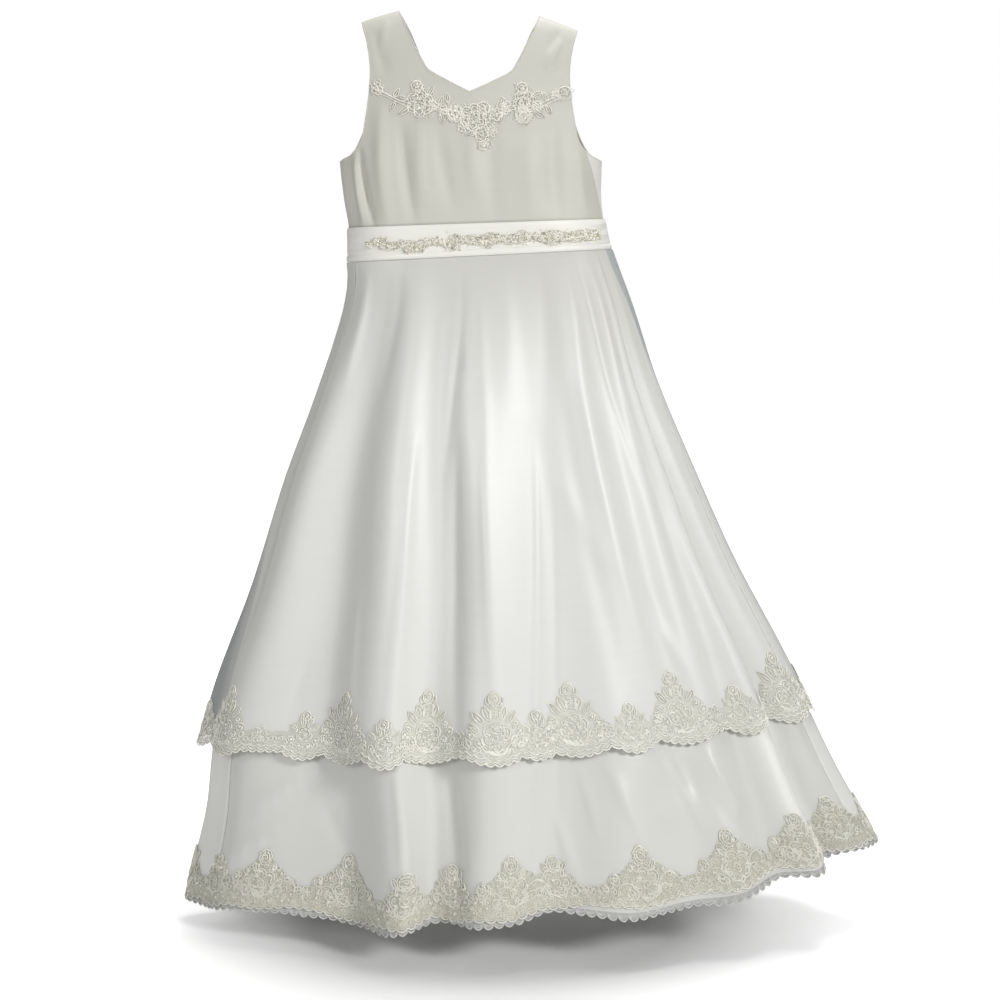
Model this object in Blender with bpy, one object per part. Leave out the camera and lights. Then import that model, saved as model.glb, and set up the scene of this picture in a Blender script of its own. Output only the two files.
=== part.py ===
"""A girl's communion dress, hollow and filled out, hanging from its shoulder seams.

The bodice, the belt, the satin skirt and the organza overskirt are walls of cloth round a hollow.
A place on the cloth is a bearing, in degrees round the dress (0 is the centre front, 90 the wearer's
left side, 180 the centre back), and a drop, in millimetres below the shoulders. Each wall stands on
level sections, and the sections lean a little and drift to the wearer's left towards the hem.
"""

import math
from bisect import bisect_right

import bmesh
import bpy
from mathutils import Vector

MM = 0.001
SEAM_GAP = 0.3  # mm between pieces that are sewn together
TRIM_GAP = 1.9  # mm between a panel and the trim that lies on it

# Wall thicknesses, in mm
BODICE_CLOTH = 1.6
BELT_CLOTH = 2.2
SKIRT_CLOTH = 1.2
ORGANZA = 1.0
LACE = 1.0
EDGING = 1.0
EMBROIDERY = 1.2

# Drops of the main levels, in mm
WAIST = 245.0
BELT_BOTTOM = 282.0
OVERSKIRT_HEM = 826.0
SKIRT_HEM = 1012.0
EDGING_HEM = 1023.0

# Seams of the front panels, in degrees from the centre front. The bodice's side seams have a bearing at
# the waist and one at the armhole, because the seam on the wearer's left swings forward.
SKIRT_SEAM_RIGHT, SKIRT_SEAM_LEFT = 68.0, 75.5
BODICE_SEAM_RIGHT = (84.0, 84.0)
BODICE_SEAM_LEFT = (84.0, 60.0)
CENTRE_BACK = 180.0

# Belt: how far its outer face stands out from the waist seam
BELT_PROUD = 2.4

# Rows and columns of the skirts' walls: both hang in the same columns and share most of their rows
OVERSKIRT_ROWS = (BELT_BOTTOM, 326.0, 410.0, 560.0, 700.0, 764.0, OVERSKIRT_HEM)
SKIRT_ROWS = (BELT_BOTTOM, 326.0, 410.0, 560.0, 700.0, 764.0, 850.0, 935.0, SKIRT_HEM)
FRONT_COLUMNS = 36
BACK_COLUMNS = 15

# Rows and columns of half a bodice: its body up to the yoke, then its yoke and strap
BODY_ROWS = 3
YOKE_ROWS = 8
CENTRE_ROWS = 2  # those of the yoke's rows that reach the centre line
YOKE_COLUMNS = 6

# The overskirt and the skirt meet the belt's lower edge one outside the other
OVERSKIRT_HANG = (
    # drop, centre, lean, half_width, front, back, fullness
    (282.0, 13.5, 2.8, 155.0, 66.0, 58.0, 0.22),
    (305.0, 18.0, 3.0, 158.5, 75.0, 66.0, 0.20),
    (346.0, 21.0, 3.3, 170.0, 90.0, 78.0, 0.14),
    (437.0, 19.5, 3.5, 200.0, 114.0, 97.0, 0.0),
    (528.0, 20.5, 3.5, 235.5, 132.0, 112.0, -0.08),
    (652.0, 27.5, 3.5, 282.0, 152.0, 128.0, -0.16),
    (765.0, 35.0, 3.4, 333.0, 167.0, 140.0, -0.22),
    (850.0, 44.0, 3.0, 366.0, 177.0, 149.0, -0.24),
)
SKIRT_HANG = (
    # drop, centre, lean, half_width, front, back, fullness
    (282.0, 13.5, 2.8, 152.8, 63.8, 55.8, 0.22),
    (305.0, 17.0, 3.0, 155.0, 72.0, 63.0, 0.20),
    (346.0, 18.0, 3.3, 163.0, 85.5, 73.5, 0.14),
    (437.0, 17.0, 3.5, 192.0, 107.5, 90.5, 0.0),
    (528.0, 20.0, 3.5, 227.0, 124.5, 104.5, -0.08),
    (652.0, 29.0, 3.5, 272.0, 143.0, 119.0, -0.16),
    (765.0, 39.5, 3.4, 324.0, 157.0, 130.0, -0.22),
    (845.0, 50.0, 3.4, 352.0, 167.0, 140.0, -0.24),
    (912.0, 60.0, 4.4, 371.0, 174.0, 147.0, -0.26),
    (994.0, 71.0, 4.7, 403.0, 182.0, 156.0, -0.28),
    (1030.0, 76.5, 4.8, 415.0, 186.0, 160.0, -0.28),
)
BODICE_HANG = (
    # drop, centre, lean, half_width
    (0.0, 2.0, -2.3, 151.5),
    (90.0, 3.0, -1.5, 151.5),
    (174.0, 3.5, 0.0, 151.5),
    (215.0, 5.5, 1.0, 149.0),
    (245.0, 9.5, 1.9, 148.0),
    (285.0, 13.5, 2.8, 152.0),
)
# How far the bodice stands forward and back of the shoulder seam, by the drop below that seam
BODICE_DEPTH = (
    # below_shoulder, front, back
    (0.0, 0.0, 0.0),
    (0.5, 6.0, 6.0),
    (5.0, 13.0, 13.0),
    (18.0, 23.0, 24.0),
    (45.0, 36.0, 38.0),
    (80.0, 48.0, 50.0),
    (120.0, 59.0, 58.0),
    (160.0, 67.0, 61.0),
    (215.0, 67.0, 57.0),
    (270.0, 63.0, 55.0),
)
CHEST_FULLNESS = 0.22  # how much squarer than an ellipse the bodice is
SHOULDER_INNER = (32.5, 6.0)  # bearing, drop
SHOULDER_OUTER = (54.6, 20.0)

ARMHOLE = (
    # bearing, drop, from the front of the shoulder round the underarm to the back of it
    (54.6, 20.0),
    (50.5, 44.0),
    (48.4, 72.0),
    (49.2, 99.0),
    (51.4, 126.0),
    (54.2, 149.0),
    (59.5, 162.0),
    (70.0, 170.0),
    (90.0, 174.5),
    (108.0, 169.5),
    (119.0, 154.0),
    (127.0, 124.0),
    (131.0, 90.0),
    (131.0, 52.0),
    (125.4, 20.0),
)
FRONT_YOKE = {"armhole_row": 5, "centre_drop": 140.0}  # where the straps' rows begin
BACK_YOKE = {"armhole_row": 10, "centre_drop": 150.0}
FRONT_NECK = (
    # out from the centre, drop, from the point of the V to the shoulder
    (0.0, 98.0),
    (22.0, 87.0),
    (46.0, 74.0),
    (55.0, 61.0),
    (65.5, 40.0),
    (74.0, 22.0),
    (81.5, 6.0),
)
BACK_NECK = (
    # out from the centre, drop, from the centre back to the shoulder
    (0.0, 122.0),
    (22.0, 116.0),
    (40.0, 98.0),
    (52.0, 72.0),
    (62.0, 45.0),
    (71.0, 24.0),
    (81.5, 6.0),
)

FOLDS = (
    # bearing under the belt, half way down, at the hem; how far it stands out there (a valley is negative)
    (-78.0, -78.0, -76.0, 0.0, -3.0, -5.0),
    (-63.0, -61.0, -60.0, 1.5, 9.0, 4.0),
    (-44.0, -40.0, -31.0, -2.5, -13.0, -13.0),
    (-28.0, -23.5, -20.5, 3.0, 13.0, 23.0),
    (-18.0, -12.5, -16.0, -2.5, -11.0, -13.0),
    (-4.0, -1.0, -7.5, 2.0, 12.0, 16.0),
    (19.0, 15.5, 4.5, -2.0, -7.0, -10.0),
    (33.0, 29.0, 15.5, 1.0, 5.0, 9.0),
    (43.0, 39.0, 28.0, -1.0, -4.0, -9.0),
    (51.0, 46.0, 36.0, 1.5, 3.0, 4.0),
    (55.0, 51.0, 44.0, 0.0, -3.0, -9.0),
    (58.5, 57.0, 52.5, 1.0, 3.0, 16.0),
    (61.5, 62.0, 60.5, -2.0, -6.0, -15.0),
    (68.0, 69.0, 74.0, 0.5, 3.0, 2.0),
    (98.0, 98.0, 97.0, 0.5, 5.0, 10.0),
    (115.0, 115.0, 114.0, -1.0, -6.0, -11.0),
    (129.0, 130.0, 130.0, 1.5, 8.0, 14.0),
    (146.0, 146.0, 145.0, -1.5, -7.0, -13.0),
    (161.0, 161.0, 160.0, 1.5, 8.0, 15.0),
    (180.0, 180.0, 179.0, -1.5, -7.0, -12.0),
    (198.0, 199.0, 200.0, 1.5, 8.0, 14.0),
    (214.0, 215.0, 215.0, -1.5, -6.0, -12.0),
    (229.0, 230.0, 231.0, 1.5, 7.0, 13.0),
    (247.0, 248.0, 248.0, -1.0, -6.0, -11.0),
    (264.0, 265.0, 266.0, 0.5, 4.0, 8.0),
)
FOLD_DROPS = (330.0, 620.0, SKIRT_HEM)
HEM_DIPS = (
    # bearing, how much lower the hem hangs there
    (-120.0, 0.0),
    (-90.0, 0.0),
    (-70.0, -3.0),
    (-54.0, -7.0),
    (-43.0, -6.0),
    (-34.0, 1.0),
    (-27.0, 6.0),
    (-19.0, 3.0),
    (-12.0, 1.0),
    (-3.0, 1.0),
    (3.0, -3.0),
    (9.0, 3.0),
    (16.0, 9.0),
    (24.0, 10.0),
    (32.0, 12.0),
    (39.0, 6.0),
    (45.0, 1.0),
    (52.0, 0.0),
    (60.0, -6.0),
    (68.0, -6.0),
    (84.0, -4.0),
    (110.0, 0.0),
)
DIP_FROM = 850.0  # the drop where the dips begin

# Lace borders: their upper edges rise over each motif, and their lower edges swag below it
OVERSKIRT_LACE = {"large": 76.0, "small": 52.0, "valley": 26.0, "bottom": 833.0, "swag": 10.0, "pitch": 62.0}
SKIRT_LACE = {"large": 66.0, "small": 56.0, "valley": 38.0, "bottom": 1009.0, "swag": 3.0, "pitch": 66.0}
MOTIF_HALF_WIDTH = {"large": 33.0, "small": 25.0}
OVERSKIRT_MOTIFS = (
    # bearing, size, across the front: the back has them in turn, a pitch apart
    (-66.0, "large"),
    (-41.0, "small"),
    (-31.0, "large"),
    (-21.5, "small"),
    (-14.0, "large"),
    (-1.0, "large"),
    (6.5, "small"),
    (13.5, "large"),
    (24.5, "small"),
    (35.5, "large"),
    (51.0, "small"),
    (71.0, "large"),
)
SKIRT_MOTIFS = (
    # bearing, size
    (-67.0, "small"),
    (-51.0, "large"),
    (-32.0, "large"),
    (-20.0, "small"),
    (-12.5, "large"),
    (-2.5, "small"),
    (4.5, "large"),
    (17.0, "large"),
    (32.0, "large"),
    (48.0, "large"),
    (58.0, "small"),
    (74.0, "large"),
)

BODICE_SPRAY = (
    # out from the centre towards the wearer's left, top, bottom
    (-106.0, 90.0, 96.0),
    (-92.0, 96.0, 102.0),
    (-79.0, 100.0, 109.0),
    (-70.0, 91.0, 123.0),
    (-56.0, 89.0, 131.0),
    (-40.0, 97.0, 127.0),
    (-27.0, 106.0, 119.0),
    (-14.0, 110.0, 136.0),
    (2.0, 108.0, 146.0),
    (14.0, 109.0, 163.0),
    (26.0, 109.0, 145.0),
    (37.0, 102.0, 131.0),
    (50.0, 92.0, 137.0),
    (64.0, 89.0, 137.0),
    (78.0, 91.0, 130.0),
    (90.0, 97.0, 113.0),
    (101.0, 98.0, 106.0),
    (110.0, 99.0, 105.0),
)
SPRAY_ROWS = 4
BELT_SPRAY_BEARINGS = (-57.0, 68.0)
BELT_SPRAY_MIDDLE = 263.5
BELT_SPRAY_HALF_HEIGHT = (6.5, 9.5)  # at its stems, at its flowers
BELT_SPRAY_FLOWERS = 5

BUTTONS = 5
BUTTON_DIAMETER = 9.0
BUTTON_HEIGHT = 4.6
BUTTON_DROPS = (134.0, 234.0)  # the first and the last
BUTTON_FROM_EDGE = 6.0

LINEN_WHITE = (0.84, 0.82, 0.76)
SATIN_WHITE = (0.86, 0.86, 0.82)
ORGANZA_WHITE = (0.88, 0.88, 0.85)
LACE_CREAM = (0.80, 0.77, 0.68)


def clear_scene():
    for thing in list(bpy.data.objects):
        bpy.data.objects.remove(thing)


def cloth_material(name, colour, roughness):
    material = bpy.data.materials.new(name)
    material.use_nodes = True
    shader = material.node_tree.nodes["Principled BSDF"]
    shader.inputs["Base Color"].default_value = (*colour, 1.0)
    shader.inputs["Roughness"].default_value = roughness
    shader.inputs["Metallic"].default_value = 0.0
    return material


def read(table, at, column):
    """A smooth curve through one column of a table, by its first column."""
    keys = [row[0] for row in table]
    at = min(max(at, keys[0]), keys[-1])
    i = min(max(bisect_right(keys, at) - 1, 0), len(keys) - 2)

    def rate(k):
        before, after = max(k - 1, 0), min(k + 1, len(keys) - 1)
        return (table[after][column] - table[before][column]) / (keys[after] - keys[before])

    span = keys[i + 1] - keys[i]
    t = (at - keys[i]) / span
    start, end = table[i][column], table[i + 1][column]
    rise = end - start
    bend = t * (1 - t) * ((1 - t) * (rate(i) * span - rise) - t * (rate(i + 1) * span - rise))
    return start + (end - start) * t + bend


def along(table, share):
    """A point on the smooth curve through a table's rows, by its share of the rows passed."""
    rows = [(k / (len(table) - 1), *row) for k, row in enumerate(table)]
    return read(rows, share, 1), read(rows, share, 2)


def stood(centre, lean, drop, across, forward):
    """A place on a section that leans about its own centre, as a point in metres."""
    turn = math.radians(lean)
    x = centre + across * math.cos(turn)
    z = -drop + across * math.sin(turn)
    return Vector((x, -forward, z)) * MM


def wrapped(bearing):
    return (bearing + 180.0) % 360.0 - 180.0


def fold_lines(drop):
    """The bearings of the crests and valleys at this drop, and how far they stand out."""
    lines = []
    for row in FOLDS:
        keys = [(BELT_BOTTOM, row[0], 0.0)] + [(FOLD_DROPS[k], row[k], row[k + 3]) for k in range(3)]
        lines.append((read(keys, drop, 1), read(keys, drop, 2)))
    return lines + [(lines[0][0] + 360.0, lines[0][1])]


def fold_height(bearing, drop):
    """Soft waves between the lines of crests and valleys."""
    lines = fold_lines(drop)
    first = lines[0][0]
    away = (bearing - first) % 360.0
    for (here, low), (there, high) in zip(lines, lines[1:]):
        if away <= there - first:
            break
    share = (away - (here - first)) / (there - here)
    return low + (high - low) * (1 - math.cos(math.pi * share)) / 2


def skirt_form(hang):
    def place(bearing, drop):
        low = max((drop - DIP_FROM) / (SKIRT_HEM - DIP_FROM), 0.0)
        drop += read(HEM_DIPS, wrapped(bearing), 1) * low**1.5
        turn = math.radians(bearing)
        half_width = read(hang, drop, 3)
        deep = read(hang, drop, 4 if math.cos(turn) > 0 else 5)
        across, forward = half_width * math.sin(turn), deep * math.cos(turn)
        forward *= 1 + read(hang, drop, 6) * math.sin(turn) ** 2
        out_x, out_y = math.sin(turn) / half_width, math.cos(turn) / deep
        reach = fold_height(bearing, drop) / math.hypot(out_x, out_y)
        return stood(
            read(hang, drop, 1), read(hang, drop, 2), drop, across + out_x * reach, forward + out_y * reach
        )

    return place


def shoulder_drop(sideways):
    """The drop of the shoulder seam, by the sine of its bearing."""
    (inner, top), (outer, low) = SHOULDER_INNER, SHOULDER_OUTER
    return top + (low - top) * (math.degrees(math.asin(sideways)) - inner) / (outer - inner)


def bodice(bearing, drop):
    turn = math.radians(bearing)
    across = read(BODICE_HANG, drop, 3) * math.sin(turn)
    below = max(drop - shoulder_drop(abs(math.sin(turn))) + SEAM_GAP, 0.0)
    facing = math.cos(turn)
    deep = read(BODICE_DEPTH, below, 1 if facing > 0 else 2)
    forward = deep * facing * (1 + CHEST_FULLNESS * math.sin(turn) ** 2)
    apart = math.copysign(SEAM_GAP / 2, facing) * min(1.0, abs(facing) * 8)
    return stood(read(BODICE_HANG, drop, 1), read(BODICE_HANG, drop, 2), drop, across, forward + apart)


skirt = skirt_form(SKIRT_HANG)
overskirt = skirt_form(OVERSKIRT_HANG)


def lifted(form, bearing, drop, lift):
    """A point on the cloth, moved out square to it by lift."""
    here = form(bearing, drop)
    round_it = form(bearing + 0.05, drop) - form(bearing - 0.05, drop)
    down_it = form(bearing, drop + 0.4) - here
    return here + down_it.cross(round_it).normalized() * lift * MM


def bearing_of(out, drop):
    """The bearing, at the front, of a place this far out from the bodice's centre line."""
    return math.degrees(math.asin(out / read(BODICE_HANG, drop, 3)))


def gap_bearing(form, bearing, drop):
    """Half of a seam's gap there, in degrees."""
    pace = (form(bearing + 0.5, drop) - form(bearing - 0.5, drop)).length / MM
    return SEAM_GAP / 2 / pace


def grid(first, last, columns):
    """Rows of places between two edges, which are lists of (bearing, drop) of one length."""
    rows = []
    for (b0, d0), (b1, d1) in zip(first, last):
        shares = [k / columns for k in range(columns + 1)]
        rows.append([(b0 + (b1 - b0) * share, d0 + (d1 - d0) * share) for share in shares])
    return rows


def cloth(form):
    """How a panel lies: on the smooth form."""
    return lambda bearing, drop, lift: lifted(form, bearing, drop, lift)


def on_panel(form, bearings, drops):
    """How trim lies on a panel: on the flat facets between the panel's own points."""

    def lay(bearing, drop, lift):
        column = min(max(bisect_right(bearings, bearing) - 1, 0), len(bearings) - 2)
        row = min(max(bisect_right(drops, drop) - 1, 0), len(drops) - 2)
        across = (bearing - bearings[column]) / (bearings[column + 1] - bearings[column])
        down = (drop - drops[row]) / (drops[row + 1] - drops[row])
        sides = bearings[column : column + 2]
        upper_left, upper_right = (lifted(form, side, drops[row], lift) for side in sides)
        lower_left, lower_right = (lifted(form, side, drops[row + 1], lift) for side in sides)
        if down > across:
            return upper_left + (lower_left - upper_left) * down + (lower_right - lower_left) * across
        return upper_left + (upper_right - upper_left) * across + (lower_right - upper_right) * down

    return lay


def wall(name, lay, grids, outer, thickness, material):
    """A closed wall over grids of places, its outer face lifted by outer and split like its inner one."""
    mesh = bmesh.new()
    corners = {}
    uses = {}

    def corner(place):
        key = (round(place[0], 4), round(place[1], 4))
        if key not in corners:
            corners[key] = (
                mesh.verts.new(lay(*place, outer)),
                mesh.verts.new(lay(*place, outer - thickness)),
            )
        return corners[key]

    for rows in grids:
        for upper, lower in zip(rows, rows[1:]):
            for k in range(len(upper) - 1):
                four = [corner(p) for p in (upper[k], lower[k], lower[k + 1], upper[k + 1])]
                for facet in (four[:3], [four[2], four[3], four[0]]):
                    mesh.faces.new([c[0] for c in facet])
                    mesh.faces.new([c[1] for c in reversed(facet)])
                for a, b in zip(four, four[1:] + four[:1]):
                    uses.setdefault(frozenset((a[0], b[0])), []).append((a, b))
    for sides in uses.values():
        if len(sides) == 1:
            a, b = sides[0]
            mesh.faces.new((b[0], a[0], a[1], b[1]))
    bmesh.ops.recalc_face_normals(mesh, faces=mesh.faces)
    return finished(name, mesh, material)


def finished(name, mesh, material):
    """The object that holds a mesh, shaded smooth but for its edges."""
    data = bpy.data.meshes.new(name)
    mesh.to_mesh(data)
    mesh.free()
    data.shade_smooth()
    data.set_sharp_from_angle(angle=math.radians(50))
    data.materials.append(material)
    thing = bpy.data.objects.new(name, data)
    bpy.context.scene.collection.objects.link(thing)
    return thing


def spread(first, last, steps):
    return [first + (last - first) * k / steps for k in range(steps + 1)]


def panel(name, form, bearings, drops, columns, outer, thickness, material):
    """A panel between two seams, from a top drop to a bottom drop."""
    edges = []
    for bearing, side in zip(bearings, (1, -1)):
        edges.append([(bearing + side * gap_bearing(form, bearing, drop), drop) for drop in drops])
    return wall(name, cloth(form), [grid(*edges, columns)], outer, thickness, material)


def travelled(form, bearings, drop):
    """How far round the cloth each bearing is from the first, in mm."""
    spots = [form(bearing, drop) for bearing in bearings]
    passed = [0.0]
    for spot, following in zip(spots, spots[1:]):
        passed.append(passed[-1] + (following - spot).length / MM)
    return passed


def border(name, form, panel_bearings, panel_rows, lace, motifs, material):
    """A lace border that rises over each motif. With no table it has them in turn, a pitch apart."""
    first = panel_bearings[0] + gap_bearing(form, panel_bearings[0], lace["bottom"])
    last = panel_bearings[-1] - gap_bearing(form, panel_bearings[-1], lace["bottom"])
    bearings = []
    for here, following in zip(panel_bearings, panel_bearings[1:]):
        bearings += [here, (here + following) / 2]
    bearings = [first, *bearings[1:], last]
    passed = travelled(form, bearings, lace["bottom"])
    if motifs:
        at = [(passed[bisect_right(bearings, max(bearing, first)) - 1], size) for bearing, size in motifs]
    else:
        turns = 2 * round(passed[-1] / lace["pitch"] / 2)
        at = [(passed[-1] * k / turns, "small" if k % 2 else "large") for k in range(turns + 1)]
    upper, lower = [], []
    for bearing, length in zip(bearings, passed):
        rise, swag = lace["valley"], 0.0
        for middle, size in at:
            away = abs(length - middle) / MOTIF_HALF_WIDTH[size]
            if away < 1:
                hill = math.cos(math.pi / 2 * away)
                rise = max(rise, lace["valley"] + (lace[size] - lace["valley"]) * hill)
                swag = max(swag, lace["swag"] * hill)
        upper.append((bearing, lace["bottom"] - rise))
        lower.append((bearing, lace["bottom"] + swag))
    lay = on_panel(form, panel_bearings, panel_rows)
    return wall(name, lay, [[upper, lower]], TRIM_GAP + LACE, LACE, material)


def neck_edge(table, steps):
    """The neckline from the centre to the shoulder, as bearings away from the centre line, and drops."""
    edge = []
    for share in spread(0.0, 1.0, steps):
        out, drop = along(table, share)
        edge.append((bearing_of(out, drop), drop))
    return edge


def armhole_share(bearing):
    """How far along the armhole's table it passes this bearing, near the underarm."""
    low, high = 0.3, 0.8
    for _ in range(30):
        middle = (low + high) / 2
        if along(ARMHOLE, middle)[0] < bearing:
            low = middle
        else:
            high = middle
    return low


def bodice_half(seam, front, underarm_columns):
    """The grids of half a front or a back, on the wearer's left: its body, and its yoke with the strap."""
    centre, neck = (0.0, FRONT_NECK) if front else (CENTRE_BACK, BACK_NECK)
    yoke = FRONT_YOKE if front else BACK_YOKE
    inward = -1 if front else 1
    seam_top = armhole_share(seam[1])
    yoke_end = yoke["armhole_row"] / (len(ARMHOLE) - 1)
    low, top = WAIST - SEAM_GAP, neck[0][1]

    strap_edge = [along(ARMHOLE, share) for share in spread(yoke_end, 0.0 if front else 1.0, YOKE_ROWS)]
    centre_edge = [(0.0, level) for level in spread(yoke["centre_drop"], top, CENTRE_ROWS)]
    centre_edge += neck_edge(neck, YOKE_ROWS - CENTRE_ROWS)[1:]
    if not front:
        gap = gap_bearing(bodice, CENTRE_BACK, yoke["centre_drop"])
        centre_edge = [(CENTRE_BACK - max(away, gap), level) for away, level in centre_edge]
    yoke_rows = grid(strap_edge, centre_edge, YOKE_COLUMNS)

    underarm = [along(ARMHOLE, share) for share in spread(seam_top, yoke_end, underarm_columns)]
    bearing, level = underarm[0]
    underarm[0] = (bearing + inward * gap_bearing(bodice, bearing, level), level)
    body_top = underarm + yoke_rows[0][1:]
    at_waist = seam[0] + inward * gap_bearing(bodice, seam[0], low)
    body_rows = []
    for share in spread(0.0, 1.0, BODY_ROWS):
        row = []
        for bearing, level in body_top:
            across = (bearing - body_top[0][0]) / (body_top[-1][0] - body_top[0][0])
            below = at_waist + (body_top[-1][0] - at_waist) * across
            row.append((below + (bearing - below) * share, low + (level - low) * share))
        body_rows.append(row)
    return [body_rows, yoke_rows]


def turned_over(grids):
    """The same grids on the wearer's right."""
    return [[[(-bearing, level) for bearing, level in row] for row in rows] for rows in grids]


def bodice_front(material):
    left = bodice_half(BODICE_SEAM_LEFT, True, 1)
    right = turned_over(bodice_half(BODICE_SEAM_RIGHT, True, 4))
    grids = [[row[::-1] for row in rows] for rows in left] + right
    return wall("bodice_front", cloth(bodice), grids, 0.0, BODICE_CLOTH, material)


def bodice_backs(material):
    """The back halves, with their straps: they meet at the centre back under the buttons."""
    left = bodice_half(BODICE_SEAM_LEFT, False, 6)
    right = turned_over(bodice_half(BODICE_SEAM_RIGHT, False, 4))
    wall("bodice_back_left", cloth(bodice), left, 0.0, BODICE_CLOTH, material)
    wall("bodice_back_right", cloth(bodice), right, 0.0, BODICE_CLOTH, material)


def belt(name, bearings, columns, material):
    drops = spread(WAIST, BELT_BOTTOM - SEAM_GAP, 2)
    return panel(name, bodice, bearings, drops, columns, BELT_PROUD, BELT_CLOTH, material)


def bodice_spray(material):
    """The embroidered sprays under the neckline, joined by their stems."""
    rows = [[] for _ in range(SPRAY_ROWS + 1)]
    for out, top, bottom in BODICE_SPRAY:
        for row, level in zip(rows, spread(top, bottom, SPRAY_ROWS)):
            row.append((bearing_of(out, level), level))
    lift = TRIM_GAP + EMBROIDERY
    return wall("bodice_applique", cloth(bodice), [rows], lift, EMBROIDERY, material)


def belt_spray(material):
    """The beaded spray along the front of the belt."""
    columns = BELT_SPRAY_FLOWERS * 4
    upper, middle, lower = [], [], []
    for k, bearing in enumerate(spread(*BELT_SPRAY_BEARINGS, columns)):
        stem, flower = BELT_SPRAY_HALF_HEIGHT
        half = stem + (flower - stem) * math.sin(math.pi * BELT_SPRAY_FLOWERS * k / columns) ** 2
        upper.append((bearing, BELT_SPRAY_MIDDLE - half))
        middle.append((bearing, BELT_SPRAY_MIDDLE))
        lower.append((bearing, BELT_SPRAY_MIDDLE + half))
    lift = BELT_PROUD + TRIM_GAP + EMBROIDERY
    return wall("belt_applique", cloth(bodice), [[upper, middle, lower]], lift, EMBROIDERY, material)


def button(name, drop, material):
    """A covered button with a flat back, on the left back half beside its edge."""
    edge = BUTTON_FROM_EDGE / (read(BODICE_HANG, drop, 3) * math.radians(1.0))
    spot = (CENTRE_BACK - edge, drop)
    seat = lifted(bodice, *spot, SEAM_GAP + 0.3)
    outward = (lifted(bodice, *spot, 5.0) - seat).normalized()
    mesh = bmesh.new()
    bmesh.ops.create_uvsphere(mesh, u_segments=10, v_segments=6, radius=BUTTON_DIAMETER / 2 * MM)
    bmesh.ops.bisect_plane(
        mesh,
        geom=mesh.verts[:] + mesh.edges[:] + mesh.faces[:],
        plane_co=(0, 0, 0),
        plane_no=(0, 0, -1),
        clear_outer=True,
    )
    bmesh.ops.contextual_create(mesh, geom=[e for e in mesh.edges if e.is_boundary])
    bmesh.ops.scale(mesh, vec=(1, 1, 2 * BUTTON_HEIGHT / BUTTON_DIAMETER), verts=mesh.verts)
    bmesh.ops.recalc_face_normals(mesh, faces=mesh.faces)
    thing = finished(name, mesh, material)
    thing.location = seat
    thing.rotation_euler = outward.to_track_quat("Z", "Y").to_euler()


def make_dress():
    plain = cloth_material("bodice_cloth", LINEN_WHITE, 0.55)
    satin = cloth_material("skirt_satin", SATIN_WHITE, 0.32)
    sheer = cloth_material("organza", ORGANZA_WHITE, 0.45)
    cream = cloth_material("lace", LACE_CREAM, 0.75)

    bodice_front(plain)
    bodice_backs(plain)

    right, left = -SKIRT_SEAM_RIGHT, SKIRT_SEAM_LEFT
    halves = (
        ("front", (right, left)),
        ("back_left", (left, CENTRE_BACK)),
        ("back_right", (CENTRE_BACK, right + 360)),
    )
    belt_seams = (-BODICE_SEAM_RIGHT[0], BODICE_SEAM_LEFT[0])
    belt("belt_front", belt_seams, 18, satin)
    belt("belt_back_left", (belt_seams[1], CENTRE_BACK), 10, satin)
    belt("belt_back_right", (CENTRE_BACK, belt_seams[0] + 360), 10, satin)

    columns = {}
    for part, bearings in halves:
        count = FRONT_COLUMNS if part == "front" else BACK_COLUMNS
        columns[part] = spread(*bearings, count)
        panel(f"skirt_{part}", skirt, bearings, SKIRT_ROWS, count, 0.0, SKIRT_CLOTH, satin)
        panel(f"overskirt_{part}", overskirt, bearings, OVERSKIRT_ROWS, count, 0.0, ORGANZA, sheer)

    edging_rows = (SKIRT_HEM + SEAM_GAP, EDGING_HEM)
    columns["back"] = columns["back_left"] + columns["back_right"][1:]
    for part in ("front", "back"):
        across = columns[part]
        tiers = (("overskirt", overskirt, OVERSKIRT_ROWS, OVERSKIRT_LACE, OVERSKIRT_MOTIFS),
                 ("skirt", skirt, SKIRT_ROWS, SKIRT_LACE, SKIRT_MOTIFS))
        for tier, form, rows, lace, motifs in tiers:
            named = motifs if part == "front" else None
            border(f"{tier}_lace_{part}", form, across, rows, lace, named, cream)
        ends = (across[0], across[-1])
        panel(f"hem_edging_{part}", skirt, ends, edging_rows, len(across) - 1, 0.0, EDGING, cream)

    bodice_spray(cream)
    belt_spray(cream)
    for number, drop in enumerate(spread(*BUTTON_DROPS, BUTTONS - 1), 1):
        button(f"button_{number}", drop, satin)


clear_scene()
make_dress()
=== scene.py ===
"""A girl's communion dress: satin, organza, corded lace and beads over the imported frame.

A place on the cloth is a bearing, in degrees round the dress (0 is the centre front, 90 the wearer's
left side, 180 the centre back), and a drop, in millimetres below the shoulders. A place on a lace
border is a run, in millimetres round it from the wearer's right side, and a height above its lower
edge. Lengths are in mm until a mesh is made.
"""

import math

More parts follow.
